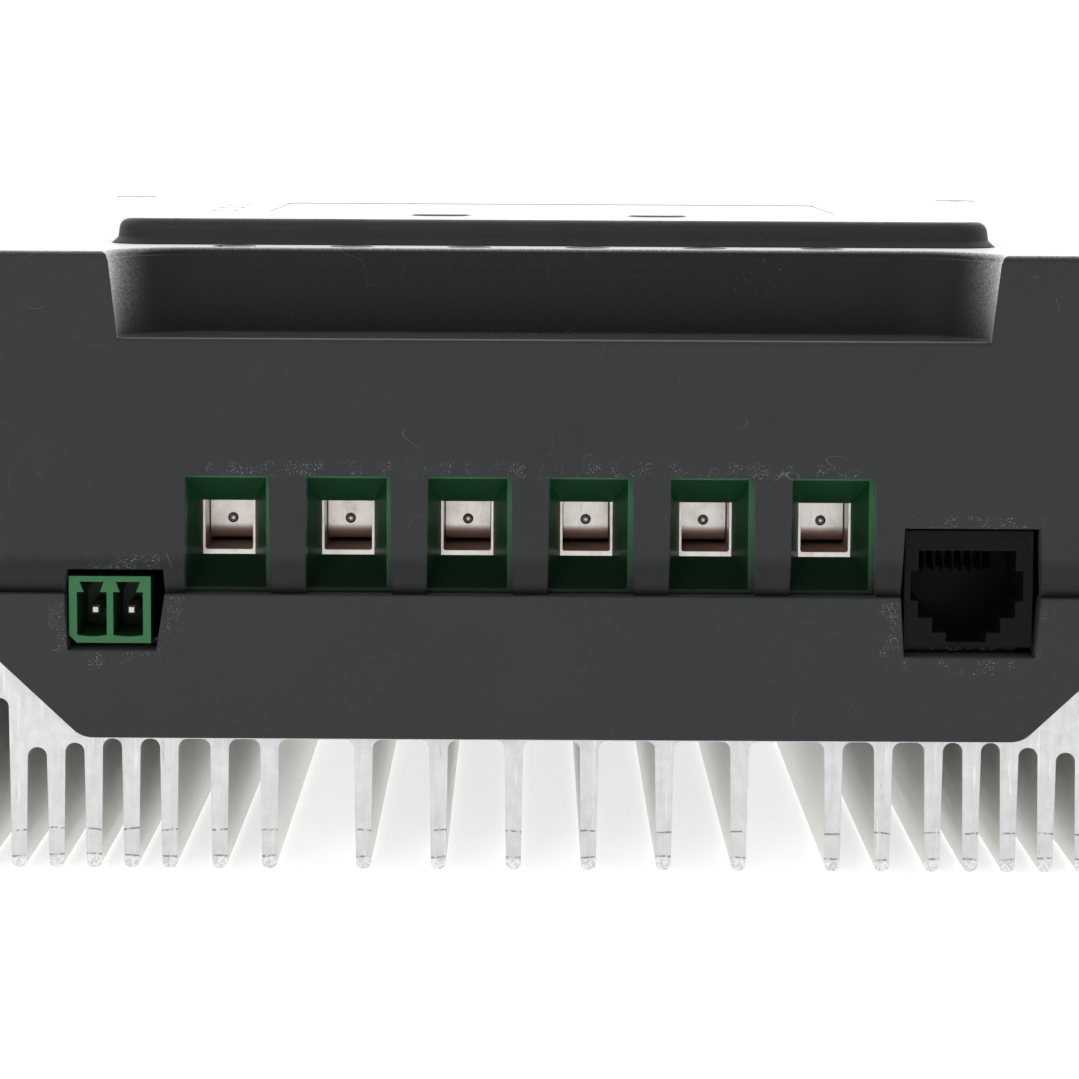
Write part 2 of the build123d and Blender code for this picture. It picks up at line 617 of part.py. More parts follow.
def build_leaf(x):
    """J-shaped pressure leaf: an upright plate, a rolled lower edge and a foot under the screw."""
    plate_back = LEAF_FRONT + LEAF_THICKNESS
    foot_top = LEAF_BOTTOM + LEAF_THICKNESS
    inner_roll = LEAF_ROLL - LEAF_THICKNESS
    with BuildPart() as leaf:
        with BuildSketch(Plane.YZ.offset(x)):
            with BuildLine():
                Line((LEAF_FRONT, LEAF_TOP), (LEAF_FRONT, LEAF_BOTTOM + LEAF_ROLL))
                RadiusArc(
                    (LEAF_FRONT, LEAF_BOTTOM + LEAF_ROLL),
                    (LEAF_FRONT + LEAF_ROLL, LEAF_BOTTOM),
                    -LEAF_ROLL,
                )
                Polyline(
                    (LEAF_FRONT + LEAF_ROLL, LEAF_BOTTOM),
                    (LEAF_BACK, LEAF_BOTTOM),
                    (LEAF_BACK, foot_top),
                    (plate_back + inner_roll, foot_top),
                )
                RadiusArc(
                    (plate_back + inner_roll, foot_top),
                    (plate_back, foot_top + inner_roll),
                    inner_roll,
                )
                Polyline(
                    (plate_back, foot_top + inner_roll),
                    (plate_back, LEAF_TOP),
                    (LEAF_FRONT, LEAF_TOP),
                )
            make_face()
        extrude(amount=LEAF_WIDTH / 2, both=True)
        top_corners = leaf.edges().filter_by(Axis.Y).group_by(Axis.Z)[-1]
        fillet(top_corners, 0.5)
        with BuildSketch(Plane.XZ.offset(-LEAF_FRONT)):
            with Locations((x, RIVET_Z)):
                Circle(RIVET_RADIUS)
                Circle(RIVET_CORE_RADIUS, mode=Mode.SUBTRACT)
        extrude(amount=-LEAF_THICKNESS / 2, mode=Mode.SUBTRACT)
    return leaf.part


def build_terminal_screw(x):
    """Slotted cheese-head screw whose tip stands on the foot of the leaf."""
    tip = LEAF_BOTTOM + LEAF_THICKNESS
    with BuildPart() as screw:
        with BuildSketch(Plane.XY.offset(tip)):
            with Locations((x, SCREW_Y)):
                Circle(SCREW_RADIUS)
        extrude(amount=SCREW_HEAD_BOTTOM - tip)
        chamfer(screw.edges().sort_by(Axis.Z)[0], SCREW_POINT)
        with BuildSketch(Plane.XY.offset(SCREW_HEAD_BOTTOM)):
            with Locations((x, SCREW_Y)):
                Circle(SCREW_HEAD_RADIUS)
        extrude(amount=SCREW_HEAD_HEIGHT)
        fillet(screw.edges().sort_by(Axis.Z)[-1], 0.3)
        with BuildSketch(Plane.XY.offset(SCREW_HEAD_BOTTOM + SCREW_HEAD_HEIGHT)):
            with Locations((x, SCREW_Y)):
                Rectangle(2 * SCREW_HEAD_RADIUS, 0.8)
        extrude(amount=-1.0, mode=Mode.SUBTRACT)
    return screw.part


for index in range(6):
    pole = pole_x(BLOCK_CENTRE, index)
    export(build_cage(pole), f"terminal_cage_{index + 1}")
    export(build_leaf(pole), f"clamp_leaf_{index + 1}")
    export(build_terminal_screw(pole), f"terminal_screw_{index + 1}")

# ---------------------------------------------------------------------------
# Two-pole sensor header
# ---------------------------------------------------------------------------
header_centre = HEADER_LEFT + HEADER_WIDTH / 2
header_pins_x = [header_centre - HEADER_PIN_PITCH / 2, header_centre + HEADER_PIN_PITCH / 2]

with BuildPart() as header:
    with BuildSketch(Plane.XZ.offset(-HEADER_FRONT)) as header_face:
        with Locations((HEADER_LEFT, BOARD_TOP)):
            Rectangle(HEADER_WIDTH, HEADER_HEIGHT, align=(Align.MIN, Align.MIN))
        low_left = header_face.vertices().group_by(Axis.Y)[0].sort_by(Axis.X)[0]
        chamfer(low_left, 0.8)
    extrude(amount=HEADER_FRONT - HEADER_BACK)
    with BuildSketch(Plane.XZ.offset(-HEADER_FRONT)):
        for x in header_pins_x:
            left_foot = (x - HEADER_CAVITY_HALF, HEADER_CAVITY_FLOOR)
            right_foot = (x + HEADER_CAVITY_HALF, HEADER_CAVITY_FLOOR)
            with BuildLine():
                Polyline(
                    left_foot,
                    (x - HEADER_CAVITY_HALF, HEADER_CAVITY_TOP),
                    (x - 0.85, HEADER_CAVITY_TOP),
                    (x - 1.27, HEADER_CAVITY_TOP + 1.1),
                    (x + 1.27, HEADER_CAVITY_TOP + 1.1),
                    (x + 0.85, HEADER_CAVITY_TOP),
                    (x + HEADER_CAVITY_HALF, HEADER_CAVITY_TOP),
                    right_foot,
                )
                ThreePointArc(right_foot, (x, HEADER_CAVITY_FLOOR - 0.15), left_foot)
            make_face()
    extrude(amount=-HEADER_CAVITY_DEPTH, mode=Mode.SUBTRACT)
    with BuildSketch(Plane.XZ.offset(-HEADER_BACK)):
        for x in header_pins_x:
            with Locations((x, HEADER_PIN_Z)):
                Rectangle(HEADER_PIN_SIZE, HEADER_PIN_SIZE)
    extrude(amount=2.0, mode=Mode.SUBTRACT)
export(header.part, "sensor_header")

half_pin = HEADER_PIN_SIZE / 2

with BuildPart() as header_pins:
    for x in header_pins_x:
        with BuildSketch(Plane.YZ.offset(x)):
            with BuildLine():
                Polyline(
                    (HEADER_FRONT + PIN_TIP_RECESS, HEADER_PIN_Z + half_pin),
                    (HEADER_BACK + 1.8, HEADER_PIN_Z + half_pin),
                    (HEADER_BACK + 1.8, BOARD_BOTTOM - 0.9),
                    (HEADER_BACK + 0.8, BOARD_BOTTOM - 0.9),
                    (HEADER_BACK + 0.8, HEADER_PIN_Z - half_pin),
                    (HEADER_FRONT + PIN_TIP_RECESS, HEADER_PIN_Z - half_pin),
                    close=True,
                )
            make_face()
        extrude(amount=half_pin, both=True)
    tips = header_pins.faces().filter_by(Axis.Y).group_by(Axis.Y)[0]
    chamfer(tips.edges(), PIN_TIP_CHAMFER, PIN_TIP_CHAMFER_DEPTH)
export(header_pins.part, "sensor_pins")

# ---------------------------------------------------------------------------
# Eight-way data jack
# ---------------------------------------------------------------------------
# Half widths of the stepped socket with their heights above the board, from its roof down
socket_steps = [
    (5.1, 10.26),
    (5.1, 8.1),
    (5.92, 8.1),
    (5.92, 4.94),
    (5.1, 4.94),
    (5.1, 3.15),
    (3.58, 3.15),
    (3.58, 1.57),
    (2.1, 1.57),
    (2.1, 0.6),
]
socket_roof = BOARD_TOP + socket_steps[0][1]
socket_outline = [(JACK_CENTRE + half, BOARD_TOP + rise) for half, rise in socket_steps]
socket_outline += [(JACK_CENTRE - half, BOARD_TOP + rise) for half, rise in reversed(socket_steps)]
contact_xs = [JACK_CENTRE + CONTACT_PITCH * (slot - 3.5) for slot in range(8)]

with BuildPart() as jack:
    with Locations((JACK_LEFT, JACK_FRONT, BOARD_TOP)):
        Box(
            JACK_WIDTH,
            JACK_BACK - JACK_FRONT,
            JACK_TOP - BOARD_TOP,
            align=(Align.MIN, Align.MIN, Align.MIN),
        )
    with BuildSketch(Plane.XZ.offset(-JACK_FRONT)):
        with BuildLine():
            Polyline(*socket_outline, close=True)
        make_face()
    extrude(amount=-JACK_SOCKET_DEPTH, mode=Mode.SUBTRACT)
    with BuildSketch(Plane.XZ.offset(-JACK_FRONT - JACK_LIP)):
        for x in contact_xs:
            with Locations((x, socket_roof)):
                Rectangle(COMB_SLOT_WIDTH, COMB_SLOT_HEIGHT)
    extrude(amount=-JACK_SOCKET_DEPTH + JACK_LIP, mode=Mode.SUBTRACT)
    with BuildSketch(Plane.XZ.offset(-JACK_FRONT - JACK_SOCKET_DEPTH + 0.5)):
        for x in contact_xs:
            with Locations((x, socket_roof - 1.66)):
                Rectangle(COMB_SLOT_WIDTH, COMB_SLOT_HEIGHT + 1.0)
    extrude(amount=-3.5, mode=Mode.SUBTRACT)
export(jack.part, "data_jack")

with BuildPart() as jack_contacts:
    for x in contact_xs:
        with BuildSketch(Plane.YZ.offset(x)):
            with BuildLine():
                Polyline(
                    (JACK_FRONT + 2.0, socket_roof + 0.84),
                    (JACK_FRONT + 12.4, socket_roof - 0.46),
                    (JACK_FRONT + 12.4, socket_roof - 0.86),
                    (JACK_FRONT + 8.5, socket_roof - 3.56),
                    (JACK_FRONT + 8.2, socket_roof - 3.31),
                    (JACK_FRONT + 11.2, socket_roof - 0.86),
                    (JACK_FRONT + 2.0, socket_roof + 0.44),
                    close=True,
                )
            make_face()
        extrude(amount=CONTACT_WIDTH / 2, both=True)
export(jack_contacts.part, "jack_contacts")

# ---------------------------------------------------------------------------
# Main circuit board, its supports and its power components
# ---------------------------------------------------------------------------
board_corner = (Align.CENTER, Align.MIN, Align.MIN)
tail_spots = [(pole_x(BLOCK_CENTRE, index), CAGE_BACK - 2.0) for index in range(6)]
tail_spots += [(x, HEADER_BACK + 1.3) for x in header_pins_x]

with BuildPart() as main_board:
    with Locations((0, BOARD_NEAR, BOARD_BOTTOM)):
        Box(2 * BOARD_HALF_WIDTH, BOARD_FAR - BOARD_NEAR, BOARD_THICKNESS, align=board_corner)
    fillet(main_board.edges().filter_by(Axis.Z), 2.0)
    with Locations(*[(x, y, BOARD_TOP) for x, y in STANDOFF_SPOTS]):
        Hole(SCREW_CLEAR_HOLE)
    with Locations(*[(x, y, BOARD_TOP) for x, y in tail_spots]):
        Hole(0.9)
export(main_board.part, "main_board")

with BuildPart() as board_standoffs:
    with BuildSketch(Plane.XY.offset(FLOOR_TOP)):
        with Locations(*STANDOFF_SPOTS):
            RegularPolygon(STANDOFF_RADIUS, 6)
            Circle(SCREW_CLEAR_HOLE, mode=Mode.SUBTRACT)
    extrude(amount=BOARD_BOTTOM - FLOOR_TOP)
export(board_standoffs.part, "board_standoffs")

with BuildPart() as board_screws:
    grip = THREAD_DEPTH - 1.0
    with BuildSketch(Plane.XY.offset(FLOOR_TOP - grip)):
        with Locations(*STANDOFF_SPOTS):
            Circle(SCREW_SHANK)
    extrude(amount=BOARD_TOP - FLOOR_TOP + grip)
    with BuildSketch(Plane.XY.offset(BOARD_TOP)):
        with Locations(*STANDOFF_SPOTS):
            Circle(PAN_HEAD_RADIUS)
    extrude(amount=BOARD_SCREW_HEAD)
    chamfer(board_screws.faces().group_by(Axis.Z)[-1].edges(), 0.5)
    with BuildSketch(Plane.XY.offset(BOARD_TOP + BOARD_SCREW_HEAD)):
        with Locations(*STANDOFF_SPOTS):
            Rectangle(CROSS_SLOT_LENGTH, CROSS_SLOT_WIDTH)
            Rectangle(CROSS_SLOT_WIDTH, CROSS_SLOT_LENGTH)
    extrude(amount=-BOARD_SCREW_HEAD / 2, mode=Mode.SUBTRACT)
export(board_screws.part, "board_screws")

INDUCTOR_SPOTS = [(-24.0, 48.0), (24.0, 48.0)]
INDUCTOR_OUTER = 18.0
INDUCTOR_INNER = 8.5
INDUCTOR_HEIGHT = 15.0
WINDING_WALL = 2.0

with BuildPart() as inductor_cores:
    with BuildSketch(Plane.XY.offset(BOARD_TOP + WINDING_WALL + 1.0)):
        with Locations(*INDUCTOR_SPOTS):
            Circle(INDUCTOR_OUTER)
            Circle(INDUCTOR_INNER, mode=Mode.SUBTRACT)
    extrude(amount=INDUCTOR_HEIGHT)
export(inductor_cores.part, "inductor_cores")

with BuildPart() as inductor_windings:
    for spot_x, spot_y in INDUCTOR_SPOTS:
        with Locations((spot_x, spot_y, BOARD_TOP + 0.5)):
            with PolarLocations((INDUCTOR_OUTER + INDUCTOR_INNER) / 2, 14, angular_range=360):
                limb = INDUCTOR_OUTER - INDUCTOR_INNER
                low = (Align.CENTER, Align.CENTER, Align.MIN)
                Box(limb + 2 * WINDING_WALL, 2.2, INDUCTOR_HEIGHT + 2 * WINDING_WALL + 1.0, align=low)
    core_hole_height = INDUCTOR_HEIGHT + 0.02
    with BuildSketch(Plane.XY.offset(BOARD_TOP + WINDING_WALL + 0.99)):
        with Locations(*INDUCTOR_SPOTS):
            Circle(INDUCTOR_OUTER + 0.02)
            Circle(INDUCTOR_INNER - 0.02, mode=Mode.SUBTRACT)
    extrude(amount=core_hole_height, mode=Mode.SUBTRACT)
export(inductor_windings.part, "inductor_windings")


CRIMP_LOW = 2.0
CRIMP_DEPTH = 0.8
CAN_SHOULDER = 0.6


def build_capacitors(spots, radius, height):
    """A row of upright electrolytic cans with a crimp groove near the foot."""
    with BuildPart() as cans:
        for x, y in spots:
            with BuildSketch(Plane.XZ.offset(-y)):
                with BuildLine():
                    Polyline(
                        (x, BOARD_TOP),
                        (x + radius, BOARD_TOP),
                        (x + radius, BOARD_TOP + CRIMP_LOW),
                        (x + radius - CRIMP_DEPTH, BOARD_TOP + CRIMP_LOW + CRIMP_DEPTH),
                        (x + radius, BOARD_TOP + CRIMP_LOW + 2 * CRIMP_DEPTH),
                        (x + radius, BOARD_TOP + height - CAN_SHOULDER),
                        (x + radius - CAN_SHOULDER, BOARD_TOP + height),
                        (x, BOARD_TOP + height),
                        close=True,
                    )
                make_face()
            revolve(axis=Axis((x, y, 0), (0, 0, 1)))
    return cans.part


input_row = [(-33.0 + 18.5 * step, 2.0) for step in range(3)]
output_row = [(-33.0 + 18.5 * step, -20.0) for step in range(3)]
export(build_capacitors(input_row, 8.0, 31.5), "input_capacitors")
export(build_capacitors(output_row, 8.0, 25.0), "output_capacitors")

TRANSISTOR_SPOTS = [(-30.0 + 20.0 * column, row) for column in range(4) for row in (14.0, 34.0)]
TRANSISTOR_WIDTH = 10.0
TRANSISTOR_LENGTH = 15.0
PAD_THICKNESS = 0.5
PAD_MARGIN = 1.0

with BuildPart() as thermal_pads:
    with BuildSketch(Plane.XY.offset(FLOOR_TOP)):
        with Locations(*TRANSISTOR_SPOTS):
            Rectangle(TRANSISTOR_WIDTH + 2 * PAD_MARGIN, TRANSISTOR_LENGTH + 2 * PAD_MARGIN)
    extrude(amount=PAD_THICKNESS)
export(thermal_pads.part, "thermal_pads")

with BuildPart() as power_transistors:
    with BuildSketch(Plane.XY.offset(FLOOR_TOP + PAD_THICKNESS)):
        with Locations(*TRANSISTOR_SPOTS):
            Rectangle(TRANSISTOR_WIDTH, TRANSISTOR_LENGTH)
    extrude(amount=BOARD_BOTTOM - FLOOR_TOP - PAD_THICKNESS)
    chamfer(power_transistors.faces().group_by(Axis.Z)[-1].edges(), 0.4)
export(power_transistors.part, "power_transistors")

SHUNT_HALF = 6.0
SHUNT_RISE = 4.0
SHUNT_FRONT = 62.0
SHUNT_WIDTH = 5.0

with BuildPart() as current_shunts:
    for x in (-21.4, 4.0, 29.4):
        left = x - SHUNT_HALF
        right = x + SHUNT_HALF
        with BuildSketch(Plane.XZ.offset(SHUNT_FRONT)):
            with BuildLine():
                Polyline((left, BOARD_TOP), (left, BOARD_TOP + SHUNT_RISE))
                Polyline((left, BOARD_TOP + SHUNT_RISE), (right, BOARD_TOP + SHUNT_RISE))
                Polyline((right, BOARD_TOP + SHUNT_RISE), (right, BOARD_TOP))
                offset(amount=0.8, kind=Kind.INTERSECTION)
            make_face()
            with Locations((x, BOARD_TOP - 1.0)):
                Rectangle(4 * SHUNT_HALF, 2.0, mode=Mode.SUBTRACT)
        extrude(amount=SHUNT_WIDTH)
export(current_shunts.part, "current_shunts")

with BuildPart() as control_chips:
    for x, y, width, length, height in ((24.0, -14.0, 14.0, 14.0, 1.6), (38.0, 16.0, 8.0, 10.0, 2.2)):
        with Locations((x, y, BOARD_TOP)):
            Box(width, length, height, align=(Align.CENTER, Align.CENTER, Align.MIN))
export(control_chips.part, "control_chips")

# ---------------------------------------------------------------------------
# Display module
# ---------------------------------------------------------------------------
bezel_middle = BEZEL_NEAR + BEZEL_LENGTH / 2
skirt_middle = (SKIRT_NEAR + SKIRT_FAR) / 2
skirt_length = SKIRT_FAR - SKIRT_NEAR
light_spots = [(LIGHT_X, row) for row in LIGHT_ROWS]
button_spots = [(x, BUTTON_Y) for x in BUTTONS_X]

with BuildPart() as bezel:
    with BuildSketch(Plane.XY.offset(COVER_TOP)):
        with Locations((0, bezel_middle)):
            RectangleRounded(2 * BEZEL_HALF_WIDTH, BEZEL_LENGTH, BEZEL_CORNER)
    extrude(amount=BEZEL_FOOT, taper=BEZEL_FOOT_DRAFT)
    foot_inset = BEZEL_FOOT * math.tan(math.radians(BEZEL_FOOT_DRAFT))
    with BuildSketch(Plane.XY.offset(COVER_TOP + BEZEL_FOOT)):
        with Locations((0, bezel_middle)):
            upper_width = 2 * (BEZEL_HALF_WIDTH - foot_inset)
            upper_length = BEZEL_LENGTH - 2 * foot_inset
            RectangleRounded(upper_width, upper_length, BEZEL_CORNER - foot_inset)
    extrude(amount=BEZEL_TOP - COVER_TOP - BEZEL_FOOT, taper=BEZEL_DRAFT)
    fillet(bezel.faces().sort_by(Axis.Z)[-1].edges(), BEZEL_EDGE)
    with BuildSketch(Plane.XY.offset(COVER_TOP)):
        with Locations((0, skirt_middle)):
            RectangleRounded(2 * SKIRT_HALF_WIDTH, skirt_length, 1.9)
            RectangleRounded(2 * SKIRT_HALF_WIDTH - 3.0, skirt_length - 3.0, 0.5, mode=Mode.SUBTRACT)
    extrude(amount=-4.0)
    with BuildSketch(Plane.XY.offset(COVER_TOP)):
        with Locations(*DISPLAY_SCREW_SPOTS):
            Circle(2.4)
    extrude(amount=DISPLAY_BOARD_TOP - COVER_TOP)
    with BuildSketch(Plane.XY.offset(BEZEL_TOP)):
        with Locations((0, WINDOW_CENTRE_Y)):
            RectangleRounded(WINDOW_WIDTH + CLEARANCE, WINDOW_LENGTH + CLEARANCE, 1.5)
    extrude(amount=-WINDOW_POCKET, mode=Mode.SUBTRACT)
    with BuildSketch(Plane.XY.offset(BEZEL_TOP)):
        with Locations((0, WINDOW_CENTRE_Y)):
            Rectangle(WINDOW_WIDTH - 2 * WINDOW_FRAME, WINDOW_LENGTH - 2 * WINDOW_FRAME)
        with Locations(*button_spots):
            button_gap = 2 * CLEARANCE
            corner_radius = BUTTON_CORNER + CLEARANCE
            RectangleRounded(BUTTON_WIDTH + button_gap, BUTTON_LENGTH + button_gap, corner_radius)
        with Locations(*light_spots):
            Circle(LIGHT_RADIUS + CLEARANCE / 2)
    extrude(amount=-BEZEL_TOP + COVER_TOP - 0.5, mode=Mode.SUBTRACT)
    with BuildSketch(Plane.XY.offset(DISPLAY_BOARD_TOP)):
        with Locations(*DISPLAY_SCREW_SPOTS):
            Circle(DISPLAY_SCREW_RADIUS + CLEARANCE / 2)
    extrude(amount=4.2, mode=Mode.SUBTRACT)
export(bezel.part, "display_bezel")

with BuildPart() as window:
    with BuildSketch(Plane.XY.offset(BEZEL_TOP - WINDOW_POCKET)):
        with Locations((0, WINDOW_CENTRE_Y)):
            RectangleRounded(WINDOW_WIDTH, WINDOW_LENGTH, 1.45)
    extrude(amount=WINDOW_POCKET - WINDOW_SUNK)
    chamfer(window.faces().sort_by(Axis.Z)[-1].edges(), WINDOW_CHAMFER)
export(window.part, "display_window")

with BuildPart() as lcd_panel:
    lcd_thickness = COVER_TOP - CLEARANCE - LCD_BOTTOM
    with Locations((0, WINDOW_CENTRE_Y, LCD_BOTTOM)):
        Box(WINDOW_WIDTH, WINDOW_LENGTH, lcd_thickness, align=(Align.CENTER, Align.CENTER, Align.MIN))
export(lcd_panel.part, "lcd_panel")

with BuildPart() as backlight:
    light_guide = LCD_BOTTOM - DISPLAY_BOARD_TOP
    with Locations((0, WINDOW_CENTRE_Y, DISPLAY_BOARD_TOP)):
        Box(WINDOW_WIDTH, WINDOW_LENGTH, light_guide, align=(Align.CENTER, Align.CENTER, Align.MIN))
    fillet(backlight.edges().filter_by(Axis.Z), 1.0)
export(backlight.part, "backlight")

with BuildPart() as display_board:
    with Locations((0, skirt_middle, DISPLAY_UNDERSIDE)):
        Box(
            2 * SKIRT_HALF_WIDTH - 4.0,
            skirt_length - 1.6,
            DISPLAY_BOARD_THICKNESS,
            align=(Align.CENTER, Align.CENTER, Align.MIN),
        )
    fillet(display_board.edges().filter_by(Axis.Z), 1.5)
    with Locations(*[(x, y, DISPLAY_BOARD_TOP) for x, y in DISPLAY_SCREW_SPOTS]):
        Hole(DISPLAY_SCREW_RADIUS + CLEARANCE)
export(display_board.part, "display_board")

with BuildPart() as display_screws:
    with BuildSketch(Plane.XY.offset(DISPLAY_UNDERSIDE)):
        with Locations(*DISPLAY_SCREW_SPOTS):
            Circle(DISPLAY_SCREW_RADIUS)
    extrude(amount=5.5)
    with BuildSketch(Plane.XY.offset(DISPLAY_UNDERSIDE)):
        with Locations(*DISPLAY_SCREW_SPOTS):
            Circle(1.9 * DISPLAY_SCREW_RADIUS)
    extrude(amount=-1.3)
export(display_screws.part, "display_screws")


def build_button(x):
    """A push button: rounded cap, retaining flange under the bezel, short stem over its switch."""
    with BuildPart() as button:
        with BuildSketch(Plane.XY.offset(COVER_TOP)):
            with Locations((x, BUTTON_Y)):
                RectangleRounded(BUTTON_WIDTH, BUTTON_LENGTH, BUTTON_CORNER)
        extrude(amount=BUTTON_TOP - COVER_TOP)
        fillet(button.faces().sort_by(Axis.Z)[-1].edges(), 0.4)
        with BuildSketch(Plane.XY.offset(COVER_TOP)):
            with Locations((x, BUTTON_Y)):
                flange_width = BUTTON_WIDTH + 2 * BUTTON_FLANGE
                flange_length = BUTTON_LENGTH + 2 * BUTTON_FLANGE
                RectangleRounded(flange_width, flange_length, BUTTON_CORNER + 0.5)
        extrude(amount=-BUTTON_FLANGE_THICKNESS)
        with BuildSketch(Plane.XY.offset(COVER_TOP - BUTTON_FLANGE_THICKNESS)):
            with Locations((x, BUTTON_Y)):
                Circle(BUTTON_STEM_RADIUS)
        extrude(amount=-BUTTON_STEM)
    return button.part


export(build_button(BUTTONS_X[0]), "select_button")
export(build_button(BUTTONS_X[1]), "enter_button")

with BuildPart() as tactile_switches:
    with BuildSketch(Plane.XY.offset(DISPLAY_BOARD_TOP)):
        with Locations(*button_spots):
            Rectangle(SWITCH_SIZE, SWITCH_SIZE)
    extrude(amount=SWITCH_HEIGHT)
    with BuildSketch(Plane.XY.offset(DISPLAY_BOARD_TOP + SWITCH_HEIGHT)):
        with Locations(*button_spots):
            Circle(1.75)
    extrude(amount=0.7)
export(tactile_switches.part, "tactile_switches")

with BuildPart() as indicator_lights:
    for x, y in light_spots:
        with Locations((x, y, DISPLAY_BOARD_TOP + LIGHT_GAP)):
            lens_height = BEZEL_TOP - DISPLAY_BOARD_TOP - LIGHT_GAP
            Cylinder(LIGHT_RADIUS, lens_height, align=(Align.CENTER, Align.CENTER, Align.MIN))
    fillet(indicator_lights.edges().group_by(Axis.Z)[-1], 0.4)
export(indicator_lights.part, "indicator_lights")

# ---------------------------------------------------------------------------
# Flat cable between the two boards
# ---------------------------------------------------------------------------
CABLE_X = 38.0
CABLE_Y = -48.0
CABLE_WIDTH = 10.0
CONNECTOR_HEIGHT = 5.0
CONNECTOR_LENGTH = 5.0
CONNECTOR_X = CABLE_X - 8.5

with BuildPart() as cable_connectors:
    for z, side in ((BOARD_TOP, Align.MIN), (DISPLAY_UNDERSIDE, Align.MAX)):
        with Locations((CONNECTOR_X, CABLE_Y, z)):
            across = (Align.CENTER, Align.CENTER, side)
            Box(CONNECTOR_LENGTH, CABLE_WIDTH + 2.0, CONNECTOR_HEIGHT, align=across)
export(cable_connectors.part, "cable_connectors")

with BuildPart() as display_cable:
    with BuildSketch(Plane.XZ.offset(-CABLE_Y)):
        low = BOARD_TOP + 2.5
        high = DISPLAY_UNDERSIDE - 2.5
        with BuildLine():
            FilletPolyline(
                (CABLE_X - 5.5, low),
                (CABLE_X, low),
                (CABLE_X, high),
                (CABLE_X - 5.5, high),
                radius=3.0,
            )
            offset(amount=0.45, side=Side.BOTH)
        make_face()
    extrude(amount=CABLE_WIDTH / 2, both=True)
export(display_cable.part, "display_cable")
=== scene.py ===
"""Looks of the wall-mount charge controller: materials, small detail, light, floor and camera."""
import json
import math

import bmesh
import bpy
from mathutils import Matrix, Vector


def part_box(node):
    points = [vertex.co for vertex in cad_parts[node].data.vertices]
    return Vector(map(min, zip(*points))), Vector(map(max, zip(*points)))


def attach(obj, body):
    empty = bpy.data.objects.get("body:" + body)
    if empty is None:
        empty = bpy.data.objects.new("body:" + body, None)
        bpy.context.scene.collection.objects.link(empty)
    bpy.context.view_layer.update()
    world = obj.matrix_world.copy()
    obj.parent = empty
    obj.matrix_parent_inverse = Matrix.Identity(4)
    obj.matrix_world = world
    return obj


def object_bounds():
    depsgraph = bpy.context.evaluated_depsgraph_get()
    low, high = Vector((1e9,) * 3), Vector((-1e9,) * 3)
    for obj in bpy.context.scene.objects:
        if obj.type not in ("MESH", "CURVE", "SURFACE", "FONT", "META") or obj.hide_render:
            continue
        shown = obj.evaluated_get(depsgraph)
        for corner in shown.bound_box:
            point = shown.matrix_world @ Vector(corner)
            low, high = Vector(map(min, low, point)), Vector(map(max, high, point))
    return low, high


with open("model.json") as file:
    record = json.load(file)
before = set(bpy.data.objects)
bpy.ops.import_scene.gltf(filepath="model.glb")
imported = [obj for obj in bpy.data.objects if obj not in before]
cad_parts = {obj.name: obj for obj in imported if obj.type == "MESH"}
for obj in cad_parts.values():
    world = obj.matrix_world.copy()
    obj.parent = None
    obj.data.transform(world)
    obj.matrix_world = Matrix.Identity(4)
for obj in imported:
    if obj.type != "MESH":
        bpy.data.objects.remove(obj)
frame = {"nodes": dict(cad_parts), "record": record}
cad_low, cad_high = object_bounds()
nodes = frame["nodes"]
MM = 0.001
WHITE = (1.0, 1.0, 1.0)
RANGE_INPUTS = ("From Min", "From Max", "To Min", "To Max")
TERMINALS = 6

# ---------------------------------------------------------------------------
# Material recipes
# ---------------------------------------------------------------------------


def toned(colour, factor, lift=0.0):
    """A colour made darker or lighter, and no brighter than white."""
    return tuple(min(1.0, channel * factor + lift) for channel in colour)


# Grazing gloss and painted sheen: where Layer Weight's facing value starts and is full, from 0 head-on
# to 1 edge-on
POLISH_FACING = (0.80, 0.95)
PAINTED_SHEEN_FACING = (0.925, 0.944)
PAINTED_HAZE_FACING = (0.12, 1.0)
PAINTED_HAZE_POWER = 1.6
# Heights in millimetres between which the painted haze, a painted sheen, sets in, and those over which
# it grows to the top
PAINTED_HAZE_START = (54.0, 56.5)
PAINTED_HAZE_GROWTH = (56.5, 65.0)
PAINTED_HAZE_AT_START = 0.12


